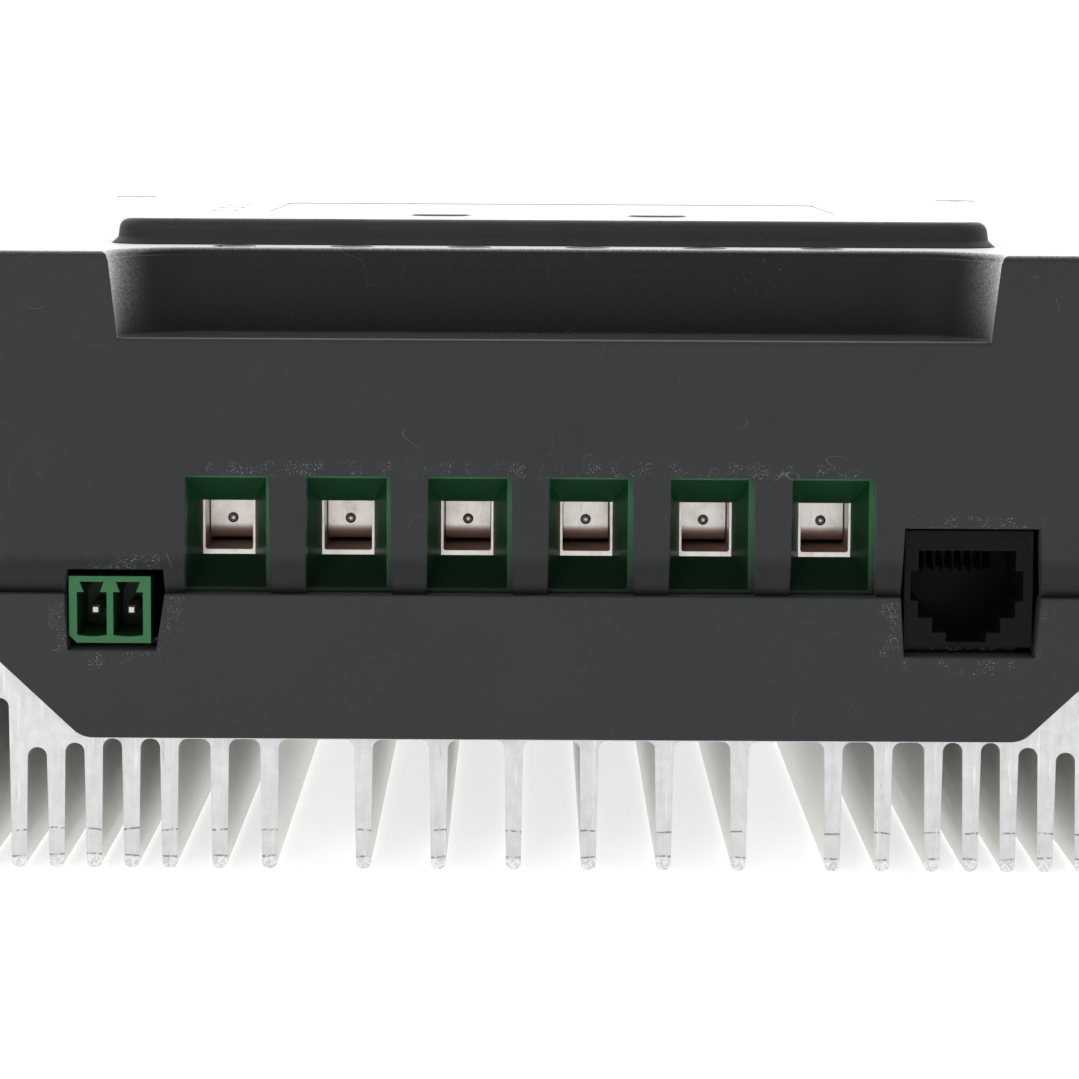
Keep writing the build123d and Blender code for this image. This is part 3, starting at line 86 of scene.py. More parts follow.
class Recipe:
    """A node material under construction, with short names for the nodes that repeat."""

    def __init__(self, name):
        self.material = bpy.data.materials.new(name)
        self.material.use_nodes = True
        self.tree = self.material.node_tree
        self.shader = self.tree.nodes["Principled BSDF"]
        self.place = self.add("ShaderNodeTexCoord").outputs["Object"]
        self.rounded = None

    def add(self, kind, settings=None, **inputs):
        """A new node, with its settings and its inputs, which are values or other nodes' outputs."""
        node = self.tree.nodes.new(kind)
        for key, value in (settings or {}).items():
            setattr(node, key, value)
        for key, value in inputs.items():
            self.put(node.inputs[key.replace("_", " ")], value)
        return node

    def put(self, socket, value):
        if isinstance(value, bpy.types.NodeSocket):
            self.tree.links.new(value, socket)
        elif isinstance(value, tuple) and len(value) == 3 and socket.type == "RGBA":
            socket.default_value = (*value, 1.0)
        else:
            socket.default_value = value

    def surface(self, **inputs):
        for key, value in inputs.items():
            self.put(self.shader.inputs[key.replace("_", " ")], value)

    def stretched(self, scale=(1, 1, 1), turn=(0, 0, 0)):
        """Object space with each axis scaled, after a turn in degrees."""
        mapping = self.add("ShaderNodeMapping", Vector=self.place)
        mapping.inputs["Scale"].default_value = scale
        mapping.inputs["Rotation"].default_value = [math.radians(a) for a in turn]
        return mapping.outputs["Vector"]

    def noise(self, size, detail=2.0, roughness=0.5, where=None, distortion=0.0):
        """Noise with features of about this size in millimetres."""
        node = self.add(
            "ShaderNodeTexNoise",
            Vector=where or self.place,
            Scale=1.0 / (size * MM),
            Detail=detail,
            Roughness=roughness,
            Distortion=distortion,
        )
        return node.outputs["Fac"]

    def cell_borders(self, size):
        """Distance to the border of cells of about this size in millimetres."""
        node = self.add("ShaderNodeTexVoronoi", {"feature": "DISTANCE_TO_EDGE"}, Vector=self.place)
        node.inputs["Scale"].default_value = 1.0 / (size * MM)
        return node.outputs["Distance"]

    def ramp(self, value, low, high, low_to=0.0, high_to=1.0):
        """A value carried from one range to another, and held at its ends."""
        node = self.add("ShaderNodeMapRange", Value=value)
        for key, number in zip(RANGE_INPUTS, (low, high, low_to, high_to)):
            self.put(node.inputs[key], number)
        return node.outputs["Result"]

    def math(self, operation, first, second=0.0):
        node = self.add("ShaderNodeMath", {"operation": operation})
        self.put(node.inputs[0], first)
        self.put(node.inputs[1], second)
        return node.outputs["Value"]

    def mix(self, factor, first, second):
        """A colour between two, from the first at 0 to the second at 1."""
        node = self.add("ShaderNodeMix", {"data_type": "RGBA"})
        self.put(node.inputs[0], factor)
        self.put(node.inputs[6], first)
        self.put(node.inputs[7], second)
        return node.outputs[2]

    def axis(self, letter):
        """Object-space position along X, Y or Z, in millimetres."""
        parts = self.add("ShaderNodeSeparateXYZ", Vector=self.place)
        return self.math("MULTIPLY", parts.outputs[letter], 1.0 / MM)

    def facing(self, letter):
        """How far the face looks along an axis of the object, from 0 to 1, either way."""
        geometry = self.add("ShaderNodeNewGeometry")
        parts = self.add("ShaderNodeSeparateXYZ", Vector=geometry.outputs["True Normal"])
        return self.math("ABSOLUTE", parts.outputs[letter])

    def between(self, value, low, high, soft):
        """1 inside a range of values, 0 outside, with soft sides."""
        rise = self.ramp(value, low - soft, low)
        fall = self.ramp(value, high, high + soft, 1.0, 0.0)
        return self.math("MULTIPLY", rise, fall)

    def soft_edges(self, radius):
        """Normals that round the part's sharp edges, by the first radius asked for in millimetres."""
        if self.rounded is None:
            bevel = self.add("ShaderNodeBevel", {"samples": 4}, Radius=radius * MM)
            self.rounded = bevel.outputs["Normal"]
        return self.rounded

    def edges(self, radius):
        """1 along the part's sharp edges and 0 on its flats."""
        geometry = self.add("ShaderNodeNewGeometry")
        dot = self.add("ShaderNodeVectorMath", {"operation": "DOT_PRODUCT"})
        self.put(dot.inputs[0], self.soft_edges(radius))
        self.put(dot.inputs[1], geometry.outputs["Normal"])
        return self.ramp(dot.outputs["Value"], 0.985, 0.80, 0.0, 1.0)

    def inside(self, low, high, soft):
        """1 in a box of object space, in millimetres; None leaves an axis free."""
        share = None
        for letter, start, end in zip("XYZ", low, high):
            if start is not None:
                part = self.between(self.axis(letter), start, end, soft)
                share = part if share is None else self.math("MULTIPLY", share, part)
        return share

    def laid_over(self, share, upper, lower):
        """One shader mixed over another by a share."""
        blend = self.add("ShaderNodeMixShader")
        self.put(blend.inputs[0], share)
        self.put(blend.inputs[1], lower.outputs[0])
        self.put(blend.inputs[2], upper.outputs[0])
        return blend

    def grazing_gloss_and_painted_sheen(self, roughness=0.25, painted_haze=0.0, grain=None):
        """Gloss at very flat angles, as every plastic has, first mirror-like and then a painted white
        sheen on faces that look up. The painted haze is a white sheen painted on as the surface turns
        away, broken by its grain and weaker lower down.
        """
        facing = self.add("ShaderNodeLayerWeight", Blend=0.5).outputs["Facing"]
        glossy = self.add("ShaderNodeBsdfGlossy", Roughness=roughness)
        self.put(glossy.inputs["Color"], WHITE)
        # A white diffuse look that stands in for glare: painted sheen
        painted_white = self.add("ShaderNodeBsdfDiffuse", Color=WHITE)
        painted_sheen = self.laid_over(0.8, painted_white, glossy)
        ground = self.shader
        if painted_haze:
            # Painted haze: white laid on by viewing angle and by height, stronger towards the top
            painted_haze_share = self.math("POWER", self.ramp(facing, *PAINTED_HAZE_FACING), PAINTED_HAZE_POWER)
            painted_haze_share = self.math("MULTIPLY", painted_haze_share, self.ramp(grain, 0.35, 0.65, painted_haze * 0.4, painted_haze * 1.6))
            growth = self.ramp(self.axis("Z"), *PAINTED_HAZE_GROWTH, PAINTED_HAZE_AT_START, 1.0)
            painted_haze_share = self.math("MULTIPLY", painted_haze_share, growth)
            painted_haze_share = self.math("MULTIPLY", painted_haze_share, self.ramp(self.axis("Z"), *PAINTED_HAZE_START))
            ground = self.laid_over(painted_haze_share, painted_white, ground)
        polished = self.laid_over(self.ramp(facing, *POLISH_FACING), glossy, ground)
        # The painted white sheen goes only on faces that look up
        flat_on_top = self.ramp(self.facing("Z"), 0.5, 0.75)
        painted_sheen_share = self.math("MULTIPLY", self.ramp(facing, *PAINTED_SHEEN_FACING), flat_on_top)
        finished = self.laid_over(painted_sheen_share, painted_sheen, polished)
        output = self.tree.nodes["Material Output"]
        self.put(output.inputs["Surface"], finished.outputs[0])

    def relief(self, height, depth, strength=1.0, edge=0.0, onto=None):
        """Bump of a depth in millimetres, over edges rounded by a radius in millimetres."""
        node = self.add("ShaderNodeBump", Strength=strength, Distance=depth * MM, Height=height)
        if onto is not None:
            self.put(node.inputs["Normal"], onto)
        elif edge:
            self.put(node.inputs["Normal"], self.soft_edges(edge))
        return node.outputs["Normal"]


def dust_specks(recipe, size, amount):
    """Scattered light specks, on more of the surface patches as the amount grows."""
    specks = recipe.ramp(recipe.noise(size, 1.0), 0.74, 0.78)
    patches = recipe.ramp(recipe.noise(9.0, 2.0), 0.62 - amount, 0.72 - amount * 0.5)
    return recipe.math("MULTIPLY", specks, patches)


DUST_COLOUR = (0.32, 0.32, 0.33)
DUST_SHARE = 0.55


def spark_textured_plastic(name, colour, dust_boxes, painted_light=()):
    """Dark moulded plastic with a fine eroded texture, dust, stray fibres and polished edges.

    Dust boxes are ranges of X and Z. The painted light boxes paint shade and highlight on boxes of
    object space, each with a colour, a share and the width of its soft side.
    """
    recipe = Recipe(name)
    grain = recipe.noise(0.22, 3.0, 0.6)
    cloud = recipe.noise(14.0, 3.0, 0.55)
    base = recipe.mix(cloud, toned(colour, 0.86), toned(colour, 1.18))
    base = recipe.mix(recipe.ramp(grain, 0.35, 0.65, 0.0, 0.28), base, toned(colour, 1.9))
    # Sharp edges made lighter: partly wear, partly a painted highlight
    base = recipe.mix(recipe.math("MULTIPLY", recipe.edges(0.35), 0.35), base, toned(colour, 2.2))
    dust = dust_specks(recipe, 0.16, 0.05)
    specks = recipe.ramp(recipe.noise(0.17, 2.0), 0.58, 0.66)
    clumps = recipe.ramp(recipe.noise(1.9, 2.0), 0.47, 0.58)
    clumped = recipe.math("MULTIPLY", specks, clumps)
    for left, right, low, high in dust_boxes:
        patch = recipe.inside((left, None, low), (right, None, high), 0.5)
        dust = recipe.math("MAXIMUM", dust, recipe.math("MULTIPLY", patch, clumped))
    fibre = recipe.between(recipe.noise(7.0, 1.0, distortion=0.6), 0.4996, 0.5004, 0.0006)
    fibre = recipe.math("MULTIPLY", fibre, recipe.ramp(recipe.noise(5.0, 0.0), 0.68, 0.72))
    dust = recipe.math("MAXIMUM", dust, recipe.math("MULTIPLY", fibre, 0.5))
    dust = recipe.math("MULTIPLY", dust, recipe.facing("Y"))
    # Boxes of painted shade and painted highlight laid over the colour
    for low, high, tone, share, soft in painted_light:
        base = recipe.mix(recipe.math("MULTIPLY", recipe.inside(low, high, soft), share), base, tone)
    base = recipe.mix(recipe.math("MULTIPLY", dust, DUST_SHARE), base, DUST_COLOUR)
    recipe.surface(
        Base_Color=base,
        Roughness=recipe.ramp(grain, 0.3, 0.7, 0.46, 0.62),
        Normal=recipe.relief(grain, 0.020, 0.55, edge=0.3),
        Sheen_Weight=0.12,
        Sheen_Roughness=0.35,
    )
    recipe.surface(Specular_IOR_Level=0.3)
    recipe.grazing_gloss_and_painted_sheen(0.12, 0.85, grain)
    return recipe.material


def smooth_plastic(name, colour, roughness=0.3, scratches=0.3, gloss=0.35):
    """Satin plastic with faint flow marks and hairline handling scratches."""
    recipe = Recipe(name)
    flow = recipe.noise(9.0, 4.0, 0.6, where=recipe.stretched((1, 0.35, 1)))
    hair = recipe.noise(0.35, 2.0, 0.5, where=recipe.stretched((1, 0.05, 1), (0, 0, 37)))
    lines = recipe.ramp(hair, 0.66, 0.72)
    base = recipe.mix(flow, toned(colour, 0.85), toned(colour, 1.2))
    # Sharp edges made lighter: a painted highlight
    edge = recipe.math("MULTIPLY", recipe.edges(0.25), 0.25)
    base = recipe.mix(edge, base, toned(colour, 2.0, 0.01))
    worn = recipe.math("MULTIPLY", lines, scratches)
    rough = recipe.math("ADD", recipe.ramp(flow, 0.3, 0.7, roughness * 0.85, roughness * 1.2), worn)
    recipe.surface(
        Base_Color=base,
        Roughness=rough,
        Normal=recipe.relief(recipe.noise(0.5, 2.0), 0.004, 0.5, edge=0.2),
    )
    recipe.surface(Specular_IOR_Level=gloss)
    recipe.grazing_gloss_and_painted_sheen(0.2)
    return recipe.material


# Dark bands across the fin ends at small sawn steps, painted shade: heights in millimetres above the
# wall face, and wander
FIN_STEP_SHADES = [(4.12, 4.26), (1.32, 1.46)]
FIN_STEP_SHADE_SOFT = 0.05
FIN_STEP_SHADE_WANDER = 0.35
FIN_TIP = (1.4, 1.1)


def sawn_extrusion(name):
    """Mill-finish aluminium: die lines along Y, sawn and scratched ends, and near the fin tips dark
    bands of painted shade at small steps and a frosted tip.
    """
    recipe = Recipe(name)
    end = recipe.ramp(recipe.facing("Y"), 0.6, 0.9)
    die_lines = recipe.noise(0.35, 4.0, 0.65, where=recipe.stretched((1, 0.006, 1)))
    stains = recipe.noise(11.0, 4.0, 0.6)
    along = recipe.mix(die_lines, (0.80, 0.79, 0.765), (0.98, 0.97, 0.95))
    along = recipe.mix(recipe.ramp(stains, 0.45, 0.75, 0.0, 0.35), along, (0.84, 0.82, 0.79))
    saw = recipe.noise(0.5, 4.0, 0.7, where=recipe.stretched((1.0, 1.0, 0.09), (0, 38, 0)))
    counter = recipe.noise(0.5, 3.0, 0.6, where=recipe.stretched((1.0, 1.0, 0.06), (0, -52, 0)))
    scratch = recipe.ramp(saw, 0.62, 0.68)
    pale = recipe.ramp(counter, 0.60, 0.66)
    pits = recipe.ramp(recipe.noise(0.16, 2.0, 0.6), 0.64, 0.72)
    cut = recipe.mix(recipe.noise(1.4, 3.0), (0.60, 0.615, 0.61), (0.80, 0.815, 0.81))
    cut = recipe.mix(recipe.math("MULTIPLY", scratch, 0.45), cut, (0.42, 0.43, 0.42))
    cut = recipe.mix(recipe.math("MULTIPLY", pale, 0.5), cut, (0.95, 0.96, 0.96))
    cut = recipe.mix(recipe.math("MULTIPLY", pits, 0.35), cut, (0.35, 0.35, 0.34))
    # Dark bands at small steps across the fin ends: painted shade
    wander = recipe.ramp(recipe.noise(5.0, 1.0), 0.2, 0.8, -FIN_STEP_SHADE_WANDER, FIN_STEP_SHADE_WANDER)
    height = recipe.math("ADD", recipe.axis("Z"), wander)
    broken = recipe.ramp(recipe.noise(0.4, 2.0), 0.40, 0.52)
    upper_shade, lower_shade = (recipe.between(height, *band, FIN_STEP_SHADE_SOFT) for band in FIN_STEP_SHADES)
    step_shades = recipe.math("MULTIPLY", recipe.math("MAXIMUM", upper_shade, lower_shade), broken)
    cut = recipe.mix(recipe.math("MULTIPLY", step_shades, 0.75), cut, (0.16, 0.16, 0.15))
    tip = recipe.ramp(height, *FIN_TIP)
    frosted = recipe.math("MULTIPLY", tip, recipe.ramp(recipe.noise(0.3, 3.0), 0.42, 0.6))
    cut = recipe.mix(recipe.math("MULTIPLY", frosted, 0.8), cut, (0.97, 0.97, 0.97))
    base = recipe.mix(end, along, cut)
    rough = recipe.add("ShaderNodeMix", {"data_type": "FLOAT"})
    recipe.put(rough.inputs[0], end)
    recipe.put(rough.inputs[2], recipe.ramp(die_lines, 0.3, 0.7, 0.34, 0.5))
    recipe.put(rough.inputs[3], recipe.ramp(saw, 0.3, 0.7, 0.36, 0.60))
    streaks = recipe.relief(die_lines, 0.012, 0.35, edge=0.12)
    deep_scratch = recipe.math("MULTIPLY", scratch, 0.6)
    gouges = recipe.math("SUBTRACT", recipe.math("ADD", saw, counter), deep_scratch)
    bumps = recipe.relief(recipe.math("MULTIPLY", gouges, end), 0.02, 0.5, onto=streaks)
    recipe.surface(Base_Color=base, Metallic=1.0, Roughness=rough.outputs[0], Normal=bumps)
    return recipe.material


# Painted shade, dark and brown, low in the cages: heights in millimetres where it is absent and full
CAGE_PAINTED_SHADE_HEIGHTS = (36.1, 35.2)
CAGE_PAINTED_SHADE_COLOUR = (0.42, 0.265, 0.205)


def tinned_metal(name, colour, tint, rough=0.30):
    """Plated sheet metal with dents, scratches, dull patches, and a brown painted shade low in the
    cages.
    """
    recipe = Recipe(name)
    dents = recipe.noise(1.1, 3.0, 0.6)
    fine = recipe.noise(0.12, 3.0, 0.7)
    scratches = recipe.ramp(
        recipe.noise(0.25, 2.0, where=recipe.stretched((1.0, 1.0, 0.12), (0, 24, 0))), 0.63, 0.69
    )
    base = recipe.mix(dents, toned(colour, 0.86), toned(colour, 1.1))
    base = recipe.mix(recipe.ramp(recipe.noise(2.4, 3.0), 0.5, 0.75, 0.0, 0.55), base, tint)
    base = recipe.mix(recipe.math("MULTIPLY", scratches, 0.4), base, toned(colour, 0.55))
    # Browner, darker and duller low in the cages behind their front: painted shade
    behind = recipe.ramp(recipe.axis("Y"), CAGE_FRONT + 0.05, CAGE_FRONT + 0.3)
    low = recipe.ramp(recipe.axis("Z"), *CAGE_PAINTED_SHADE_HEIGHTS)
    cage_shade = recipe.math("MULTIPLY", behind, low)
    base = recipe.mix(cage_shade, base, CAGE_PAINTED_SHADE_COLOUR)
    polish = recipe.ramp(fine, 0.3, 0.7, rough * 0.8, rough * 1.5)
    recipe.surface(
        Base_Color=base,
        Metallic=recipe.ramp(cage_shade, 0.0, 1.0, 1.0, 0.35),
        Roughness=recipe.math("ADD", polish, recipe.math("MULTIPLY", cage_shade, 0.3)),
        Normal=recipe.relief(recipe.math("ADD", fine, dents), 0.012, 0.45, edge=0.08),
    )
    return recipe.material


def moulded_nylon(name, colour, pale, deep, low, high, front, roughness=0.34):
    """Nylon with flow marks and a fine gloss break-up.

    Its tone goes from deep at the low height to its colour at the high one, a painted shade, and its
    sharp edges and front rim are pale, a painted highlight.
    """
    recipe = Recipe(name)
    flow = recipe.noise(5.0, 3.0, 0.5)
    fine = recipe.noise(0.18, 2.0, 0.6)
    base = recipe.mix(flow, toned(colour, 0.85), toned(colour, 1.15))
    # Darker towards the low height: painted shade
    base = recipe.mix(recipe.ramp(recipe.axis("Z"), high, low), base, deep)
    # Lighter sharp edges and front rim: painted highlight
    edge = recipe.math("MULTIPLY", recipe.edges(0.1), 0.3)
    base = recipe.mix(edge, base, pale)
    rim = recipe.ramp(recipe.axis("Y"), front + 0.12, front + 0.02)
    rim = recipe.math("MULTIPLY", rim, recipe.ramp(recipe.axis("Z"), low, high))
    base = recipe.mix(rim, base, pale)
    recipe.surface(
        Base_Color=base,
        Roughness=recipe.ramp(fine, 0.3, 0.7, roughness * 0.8, roughness * 1.3),
        Normal=recipe.relief(fine, 0.006, 0.4, edge=0.1),
    )
    recipe.surface(Specular_IOR_Level=0.25, Subsurface_Weight=0.06, Subsurface_Scale=1.0)
    recipe.surface(Subsurface_Radius=(0.2 * MM, 0.8 * MM, 0.3 * MM))
    return recipe.material


def laminate_board(name):
    """Solder-mask laminate with traces showing faintly through it."""
    recipe = Recipe(name)
    traces = recipe.ramp(recipe.cell_borders(3.0), 0.05, 0.09, 1.0, 0.0)
    base = recipe.mix(recipe.noise(8.0, 2.0), (0.012, 0.10, 0.045), (0.02, 0.15, 0.065))
    base = recipe.mix(recipe.math("MULTIPLY", traces, 0.6), base, (0.03, 0.22, 0.09))
    sides = recipe.ramp(recipe.facing("Z"), 0.7, 0.5)
    cut_side = recipe.mix(recipe.noise(0.4, 3.0), (0.006, 0.008, 0.006), (0.012, 0.013, 0.009))
    base = recipe.mix(sides, base, cut_side)
    recipe.surface(Base_Color=base, Roughness=recipe.ramp(recipe.noise(0.5), 0.3, 0.7, 0.18, 0.32))
    recipe.surface(Normal=recipe.relief(traces, 0.03, 0.5))
    return recipe.material


def clear_cover(name, colour, roughness=0.04):
    """Clear hard-coated plastic with faint smears."""
    recipe = Recipe(name)
    smear = recipe.noise(7.0, 4.0, 0.6, where=recipe.stretched((1, 0.5, 1), (0, 0, 25)))
    recipe.surface(
        Base_Color=recipe.mix(smear, colour, toned(colour, 1.05)),
        Roughness=recipe.ramp(smear, 0.45, 0.75, roughness, roughness + 0.1),
        Transmission_Weight=1.0,
        IOR=1.49,
        Normal=recipe.relief(recipe.noise(1.0), 0.002, 0.3, edge=0.15),
    )
    recipe.grazing_gloss_and_painted_sheen(0.1)
    return recipe.material


def layered_metal(name, colour, roughness, lay):
    """Turned, rolled or drawn metal; lay stretches its grain along one axis."""
    recipe = Recipe(name)
    grain = recipe.noise(0.3, 4.0, 0.65, where=recipe.stretched(lay))
    base = recipe.mix(grain, toned(colour, 0.8), toned(colour, 1.12))
    recipe.surface(
        Base_Color=base,
        Metallic=1.0,
        Roughness=recipe.ramp(grain, 0.3, 0.7, roughness * 0.75, roughness * 1.4),
        Normal=recipe.relief(grain, 0.008, 0.4, edge=0.1),
    )
    return recipe.material


def speckled_solid(name, colour, fleck, roughness, size=0.5):
    """A dense matt body with flecks, such as ferrite, silicone or moulded epoxy."""
    recipe = Recipe(name)
    flecks = recipe.ramp(recipe.noise(size, 3.0, 0.6), 0.55, 0.68)
    base = recipe.mix(recipe.noise(size * 12, 2.0), toned(colour, 0.85), toned(colour, 1.1))
    base = recipe.mix(recipe.math("MULTIPLY", flecks, 0.5), base, fleck)
    recipe.surface(
        Base_Color=base,
        Roughness=recipe.ramp(flecks, 0.0, 1.0, roughness, roughness * 0.8),
        Normal=recipe.relief(recipe.noise(size, 3.0), 0.02, 0.5, edge=0.15),
    )
    return recipe.material


HOUSING_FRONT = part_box("pv_terminal_housing")[0].y / MM
HEADER_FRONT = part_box("sensor_header")[0].y / MM
CAGE_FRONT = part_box("terminal_cage_1")[0].y / MM
# Painted light and shade on the cover: low and high corner in millimetres, colour, share and soft side.
# They are the painted shade at the back of the recess, the painted shade on the curl over the end plate,
# the painted highlight along the lip and the painted highlight on the hole rims.
RECESS_PAINTED_SHADE = ((None, -91.6, 56.9), (None, -80.0, 65.6), (0.002, 0.002, 0.002), 0.9, 0.25)
CURL_PAINTED_SHADE = ((None, -92.6, 29.0), (None, -88.0, 33.2), (0.004, 0.004, 0.004), 0.8, 1.2)
LIP_PAINTED_HIGHLIGHT = ((-45.0, -92.45, 56.93), (45.0, -91.8, 57.05), (0.11, 0.105, 0.10), 0.8, 0.04)
HOLE_RIM_PAINTED_HIGHLIGHT = ((-36.0, -82.5, 65.55), (32.0, -77.3, 65.92), (0.75, 0.75, 0.75), 0.9, 0.03)
# Dust round the openings: left, right, low and high in millimetres
COVER_DUST = [(-36.0, 32.0, 42.8, 43.9), (37.3, 51.0, 37.6, 38.5), (-50.6, -39.6, 32.9, 34.0)]
PLATE_DUST = [
    (34.6, 36.1, 24.0, 29.4),
    (51.2, 52.0, 24.0, 28.5),
    (-40.3, -38.9, 26.0, 29.5),
    (-52.6, -51.4, 24.0, 29.0),
    (-50.0, -42.0, 22.3, 23.6),
    (37.0, 50.0, 22.0, 23.2),
]
COVER_PAINTED_LIGHT = (RECESS_PAINTED_SHADE, CURL_PAINTED_SHADE, LIP_PAINTED_HIGHLIGHT, HOLE_RIM_PAINTED_HIGHLIGHT)
COVER_COLOUR = (0.0185, 0.0203, 0.0222)
PLATE_COLOUR = (0.0210, 0.0230, 0.0250)
cover_look = spark_textured_plastic("cover_plastic_look", COVER_COLOUR, COVER_DUST, COVER_PAINTED_LIGHT)
plate_look = spark_textured_plastic("end_plate_plastic_look", PLATE_COLOUR, PLATE_DUST)
LOOKS = {
    "extruded_aluminium": sawn_extrusion("extruded_aluminium_look"),
    "cover_plastic": cover_look,
    "end_plate_plastic": plate_look,
    "bezel_plastic": smooth_plastic("bezel_plastic_look", (0.020, 0.019, 0.0185), 0.5),
    "clear_window": clear_cover("clear_window_look", (0.93, 0.95, 0.95)),
    "lcd_glass": smooth_plastic("lcd_glass_look", (0.20, 0.235, 0.19), 0.16, 0.05),
    "white_plastic": smooth_plastic("white_plastic_look", (0.75, 0.75, 0.72), 0.4, 0.1),
    "board_green": laminate_board("board_green_look"),
    "terminal_green": moulded_nylon(
        "terminal_green_look",
        colour=(0.0085, 0.050, 0.019),
        pale=(0.037, 0.140, 0.062),
        deep=(0.0050, 0.0145, 0.0070),
        low=31.0,
        high=39.0,
        front=HOUSING_FRONT,
    ),
    "header_green": moulded_nylon(
        "header_green_look",
        colour=(0.010, 0.045, 0.018),
        pale=(0.034, 0.150, 0.056),
        deep=(0.006, 0.022, 0.010),
        low=20.0,
        high=24.0,
        front=HEADER_FRONT,
    ),
    "tinned_steel": tinned_metal("tinned_steel_look", (0.64, 0.605, 0.575), (0.36, 0.29, 0.25)),
    "zinc_steel": layered_metal("zinc_steel_look", (0.66, 0.66, 0.65), 0.3, (1, 1, 0.1)),
    "black_plastic": smooth_plastic("black_plastic_look", (0.0022, 0.0022, 0.0024), 0.5, 0.1, 0.12),
    # The contact gold is made very dark: painted shade for their place deep in the jack
    "gold_contact": layered_metal("gold_contact_painted_shade_look", (0.085, 0.070, 0.048), 0.4, (1, 0.1, 1)),
    "button_plastic": smooth_plastic("button_plastic_look", (0.13, 0.13, 0.132), 0.5, 0.15),
    "light_pipe": clear_cover("light_pipe_look", (0.62, 0.86, 0.66), 0.15),
    "ferrite": speckled_solid("ferrite_look", (0.035, 0.035, 0.038), (0.10, 0.10, 0.10), 0.6),
    "copper_wire": layered_metal("copper_wire_look", (0.72, 0.30, 0.13), 0.25, (1, 1, 0.1)),
    "can_sleeve": smooth_plastic("can_sleeve_look", (0.015, 0.022, 0.05), 0.25, 0.1),
    "silicone_pad": speckled_solid("silicone_pad_look", (0.35, 0.40, 0.50), (0.5, 0.55, 0.65), 0.8, 0.3),
    "shunt_metal": layered_metal("shunt_metal_look", (0.60, 0.46, 0.34), 0.35, (0.1, 1, 1)),
    "cable_grey": smooth_plastic("cable_grey_look", (0.38, 0.38, 0.40), 0.5, 0.05),
}

for row in frame["record"]["subparts"]:
    part = nodes[row["node"]]
    for slot in part.material_slots:
        slot.material = LOOKS[row["material_slot"]]

# ---------------------------------------------------------------------------
# Small visible pieces
# ---------------------------------------------------------------------------
# Rivet profiles: radii, and heights in front of the leaf, in millimetres
RIVET_ABOVE_LEAF_FOOT = 2.3
RIVET_STEPS = 32
RIVET_DOME = [(0.0, 0.15), (0.12, 0.142), (0.22, 0.115), (0.30, 0.07), (0.345, 0.015)]
RIVET_DOME += [(0.36, -0.06), (0.0, -0.06)]
RIVET_GROOVE = [(0.36, -0.04), (0.42, -0.055), (0.50, -0.055), (0.56, -0.01)]
RIVET_GROOVE += [(0.56, -0.10), (0.36, -0.10)]
RIVET_SHARP_ANGLE = math.radians(40)


def finish_piece(form, name, looks, body, sharp_angle=None):
    """A bmesh made into a named piece with its looks, which rides on a body."""
    mesh = bpy.data.meshes.new(name)
    form.to_mesh(mesh)
    form.free()
    if sharp_angle is not None:
        mesh.set_sharp_from_angle(angle=sharp_angle)
    for look in looks:
        mesh.materials.append(look)
    piece = bpy.data.objects.new(name, mesh)
    bpy.context.scene.collection.objects.link(piece)
    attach(piece, body)


def spin_profile(form, profile, centre, steps, look_index):
    """A closed shape turned round the Y axis through centre, from radii and heights in front of it."""
    rings = []
    for radius, height in profile:
        turns = 1 if radius == 0 else steps
        ring = []
        for step in range(turns):
            angle = 2 * math.pi * step / steps
            across = Vector((math.cos(angle), 0, math.sin(angle))) * radius
            ring.append(form.verts.new(centre + (across + Vector((0, -height, 0))) * MM))
        rings.append(ring)
    for inner, outer in zip(rings, rings[1:] + rings[:1]):
        for step in range(steps):
            corners = [outer[step % len(outer)], outer[(step + 1) % len(outer)]]
            corners += [inner[(step + 1) % len(inner)], inner[step % len(inner)]]
            corners = list(dict.fromkeys(corners))
            if len(corners) > 2:
                face = form.faces.new(corners)
                face.material_index = look_index
                face.smooth = True


def build_rivet(index):
    """Domed rivet end of a clamp leaf, in the ring pressed around it, whose groove is near-black as
    painted shade.
    """
    low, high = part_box(f"clamp_leaf_{index}")
    centre = Vector(((low.x + high.x) / 2, low.y, low.z + RIVET_ABOVE_LEAF_FOOT * MM))
    form = bmesh.new()
    spin_profile(form, RIVET_DOME, centre, RIVET_STEPS, 0)
    spin_profile(form, RIVET_GROOVE, centre, RIVET_STEPS, 1)
    name, body = f"clamp_rivet_{index}", f"clamp_{index}"
    looks = [LOOKS["tinned_steel"], RIVET_GROOVE_SHADE_LOOK]
    finish_piece(form, name, looks, body, RIVET_SHARP_ANGLE)


# The seven bars of a digit: centre across and up in bar lengths, and whether it stands upright
DIGIT_BARS = [(0, 2, 0), (0, 0, 0), (0, -2, 0), (-1, 1, 1), (1, 1, 1), (-1, -1, 1), (1, -1, 1)]
BAR_HALF_LENGTH = 3.1
BAR_HALF_WIDTH = 0.55
BAR_GAP = 0.25
BAR_THICKNESS = 0.03
BAR_LIFT = 0.02
DIGITS = 4
DIGIT_STEP = 10.5
DIGIT_START = -22.0
LEVEL_BARS = 5
LEVEL_X = 22.5
LEVEL_STEP = 3.2
LEVEL_HALF_LENGTH = 4.5
LEVEL_HALF_WIDTH = 0.9


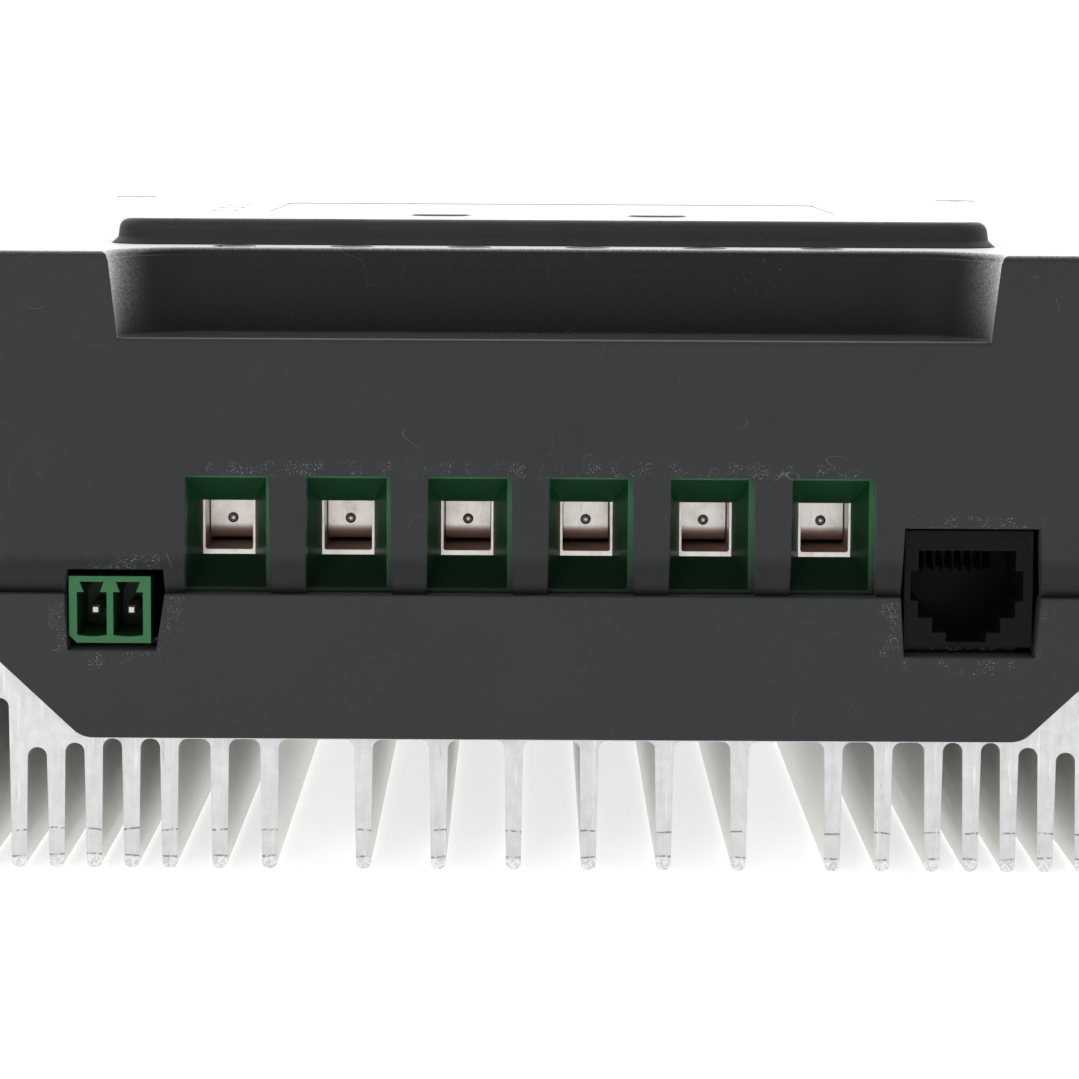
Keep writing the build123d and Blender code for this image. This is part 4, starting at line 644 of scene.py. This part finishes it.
def add_bar(form, centre, along, across, half_length, half_width):
    """A flat bar with pointed ends."""
    tip = half_length - BAR_GAP
    outline = [(-tip, 0), (-tip + half_width, -half_width), (tip - half_width, -half_width)]
    outline += [(-x, -y) for x, y in outline]
    levels = []
    for level in (0.0, BAR_THICKNESS):
        home = centre + Vector((0, 0, level))
        levels.append([form.verts.new((home + along * x + across * y) * MM) for x, y in outline])
    lower, upper = levels
    form.faces.new(upper)
    form.faces.new(list(reversed(lower)))
    for step in range(len(outline)):
        after = (step + 1) % len(outline)
        form.faces.new([lower[step], lower[after], upper[after], upper[step]])


def build_lcd_segments():
    """The unlit segments of the display: four digits and a column of level bars."""
    low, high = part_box("lcd_panel")
    middle = (low + high) / 2 / MM
    top = high.z / MM + BAR_LIFT
    east, north = Vector((1, 0, 0)), Vector((0, 1, 0))
    form = bmesh.new()
    for digit in range(DIGITS):
        home = Vector((middle.x + DIGIT_START + digit * DIGIT_STEP, middle.y, top))
        for across, up, upright in DIGIT_BARS:
            spot = home + Vector((across, up, 0)) * BAR_HALF_LENGTH
            along, side = (north, -east) if upright else (east, north)
            add_bar(form, spot, along, side, BAR_HALF_LENGTH, BAR_HALF_WIDTH)
    for level in range(LEVEL_BARS):
        rise = (level - (LEVEL_BARS - 1) / 2) * LEVEL_STEP
        spot = Vector((middle.x + LEVEL_X, middle.y + rise, top))
        add_bar(form, spot, east, north, LEVEL_HALF_LENGTH, LEVEL_HALF_WIDTH)
    finish_piece(form, "lcd_segments", [SEGMENT_LOOK], "base")


# A near-black look for the groove round each rivet dome: painted shade
RIVET_GROOVE_SHADE_LOOK = speckled_solid("rivet_groove_painted_shade_look", (0.020, 0.015, 0.013), (0.05, 0.04, 0.035), 0.7, 0.1)
SEGMENT_LOOK = smooth_plastic("segment_look", (0.125, 0.15, 0.12), 0.3, 0.05)
for index in range(1, TERMINALS + 1):
    build_rivet(index)
build_lcd_segments()

# ---------------------------------------------------------------------------
# Floor, light and camera
# ---------------------------------------------------------------------------
FRONT_SKY = 0.5
BACK_SKY = 1.12
SKY_FADE = (-0.5, 0.3)
FLOOR_HALF = 3.0
FLOOR_GAP = 0.1 * MM
FLOOR_GLOW = 0.6
# Softboxes: place and size in metres, and power in watts
SOFTBOXES = {
    "front_box": ((-0.35, -0.9, 0.6), (0.5, 0.3), 1.6),
    "back_box": ((0.0, 0.9, 0.7), (1.2, 0.6), 4.0),
}


def build_floor():
    """A plain pale floor just under the object, which glows enough to wash out its shadow."""
    mesh = bpy.data.meshes.new("floor")
    corners = [(-1, -1), (1, -1), (1, 1), (-1, 1)]
    level = cad_low.z - FLOOR_GAP
    mesh.from_pydata([(x * FLOOR_HALF, y * FLOOR_HALF, level) for x, y in corners], [], [(0, 1, 2, 3)])
    floor = bpy.data.objects.new("floor", mesh)
    bpy.context.scene.collection.objects.link(floor)
    recipe = Recipe("floor_look")
    tone = recipe.mix(recipe.noise(60.0, 3.0), (0.84, 0.84, 0.84), (0.88, 0.88, 0.88))
    recipe.surface(Base_Color=tone, Roughness=0.7, Emission_Color=WHITE, Emission_Strength=FLOOR_GLOW)
    mesh.materials.append(recipe.material)


def build_world():
    """A white sky, dimmer on the front side than behind the object."""
    world = bpy.data.worlds.new("studio")
    bpy.context.scene.world = world
    world.use_nodes = True
    tree = world.node_tree
    place = tree.nodes.new("ShaderNodeTexCoord")
    parts = tree.nodes.new("ShaderNodeSeparateXYZ")
    fade = tree.nodes.new("ShaderNodeMapRange")
    tree.links.new(place.outputs["Generated"], parts.inputs["Vector"])
    tree.links.new(parts.outputs["Y"], fade.inputs["Value"])
    for key, value in zip(RANGE_INPUTS, (*SKY_FADE, FRONT_SKY, BACK_SKY)):
        fade.inputs[key].default_value = value
    backdrop = tree.nodes["Background"]
    backdrop.inputs["Color"].default_value = (*WHITE, 1.0)
    tree.links.new(fade.outputs["Result"], backdrop.inputs["Strength"])


def add_softbox(name, place, size, power, target):
    """A rectangular area light aimed at a target."""
    light = bpy.data.lights.new(name, "AREA")
    light.shape = "RECTANGLE"
    light.size, light.size_y = size
    light.energy = power
    lamp = bpy.data.objects.new(name, light)
    lamp.location = place
    lamp.rotation_euler = (Vector(target) - Vector(place)).to_track_quat("-Z", "Y").to_euler()
    bpy.context.scene.collection.objects.link(lamp)


CAMERA_DISTANCE = 300.0 * MM
CAMERA_ABOVE_FLOOR = 81.4 * MM
CAMERA_SIDE = -2.6 * MM
CAMERA_TILT = 5.0
CAMERA_ROLL = 0.307
CAMERA_LENS = 96.54
CAMERA_SHIFT = (0.0096, -0.1686)


def build_camera():
    data = bpy.data.cameras.new("camera")
    data.lens = CAMERA_LENS
    data.sensor_width = 36.0
    data.shift_x, data.shift_y = CAMERA_SHIFT
    data.clip_start = 0.01
    data.clip_end = 20.0
    camera = bpy.data.objects.new("camera", data)
    camera.location = (CAMERA_SIDE, cad_low.y - CAMERA_DISTANCE, cad_low.z + CAMERA_ABOVE_FLOOR)
    tilt = Matrix.Rotation(math.radians(90.0 - CAMERA_TILT), 4, "X")
    roll = Matrix.Rotation(math.radians(CAMERA_ROLL), 4, "Z")
    camera.rotation_euler = (tilt @ roll).to_euler()
    bpy.context.scene.collection.objects.link(camera)
    bpy.context.scene.camera = camera


build_floor()
build_world()
middle = (cad_low + cad_high) / 2
for name, (place, size, power) in SOFTBOXES.items():
    add_softbox(name, place, size, power, middle)
build_camera()
bpy.context.scene.view_settings.view_transform = "Standard"
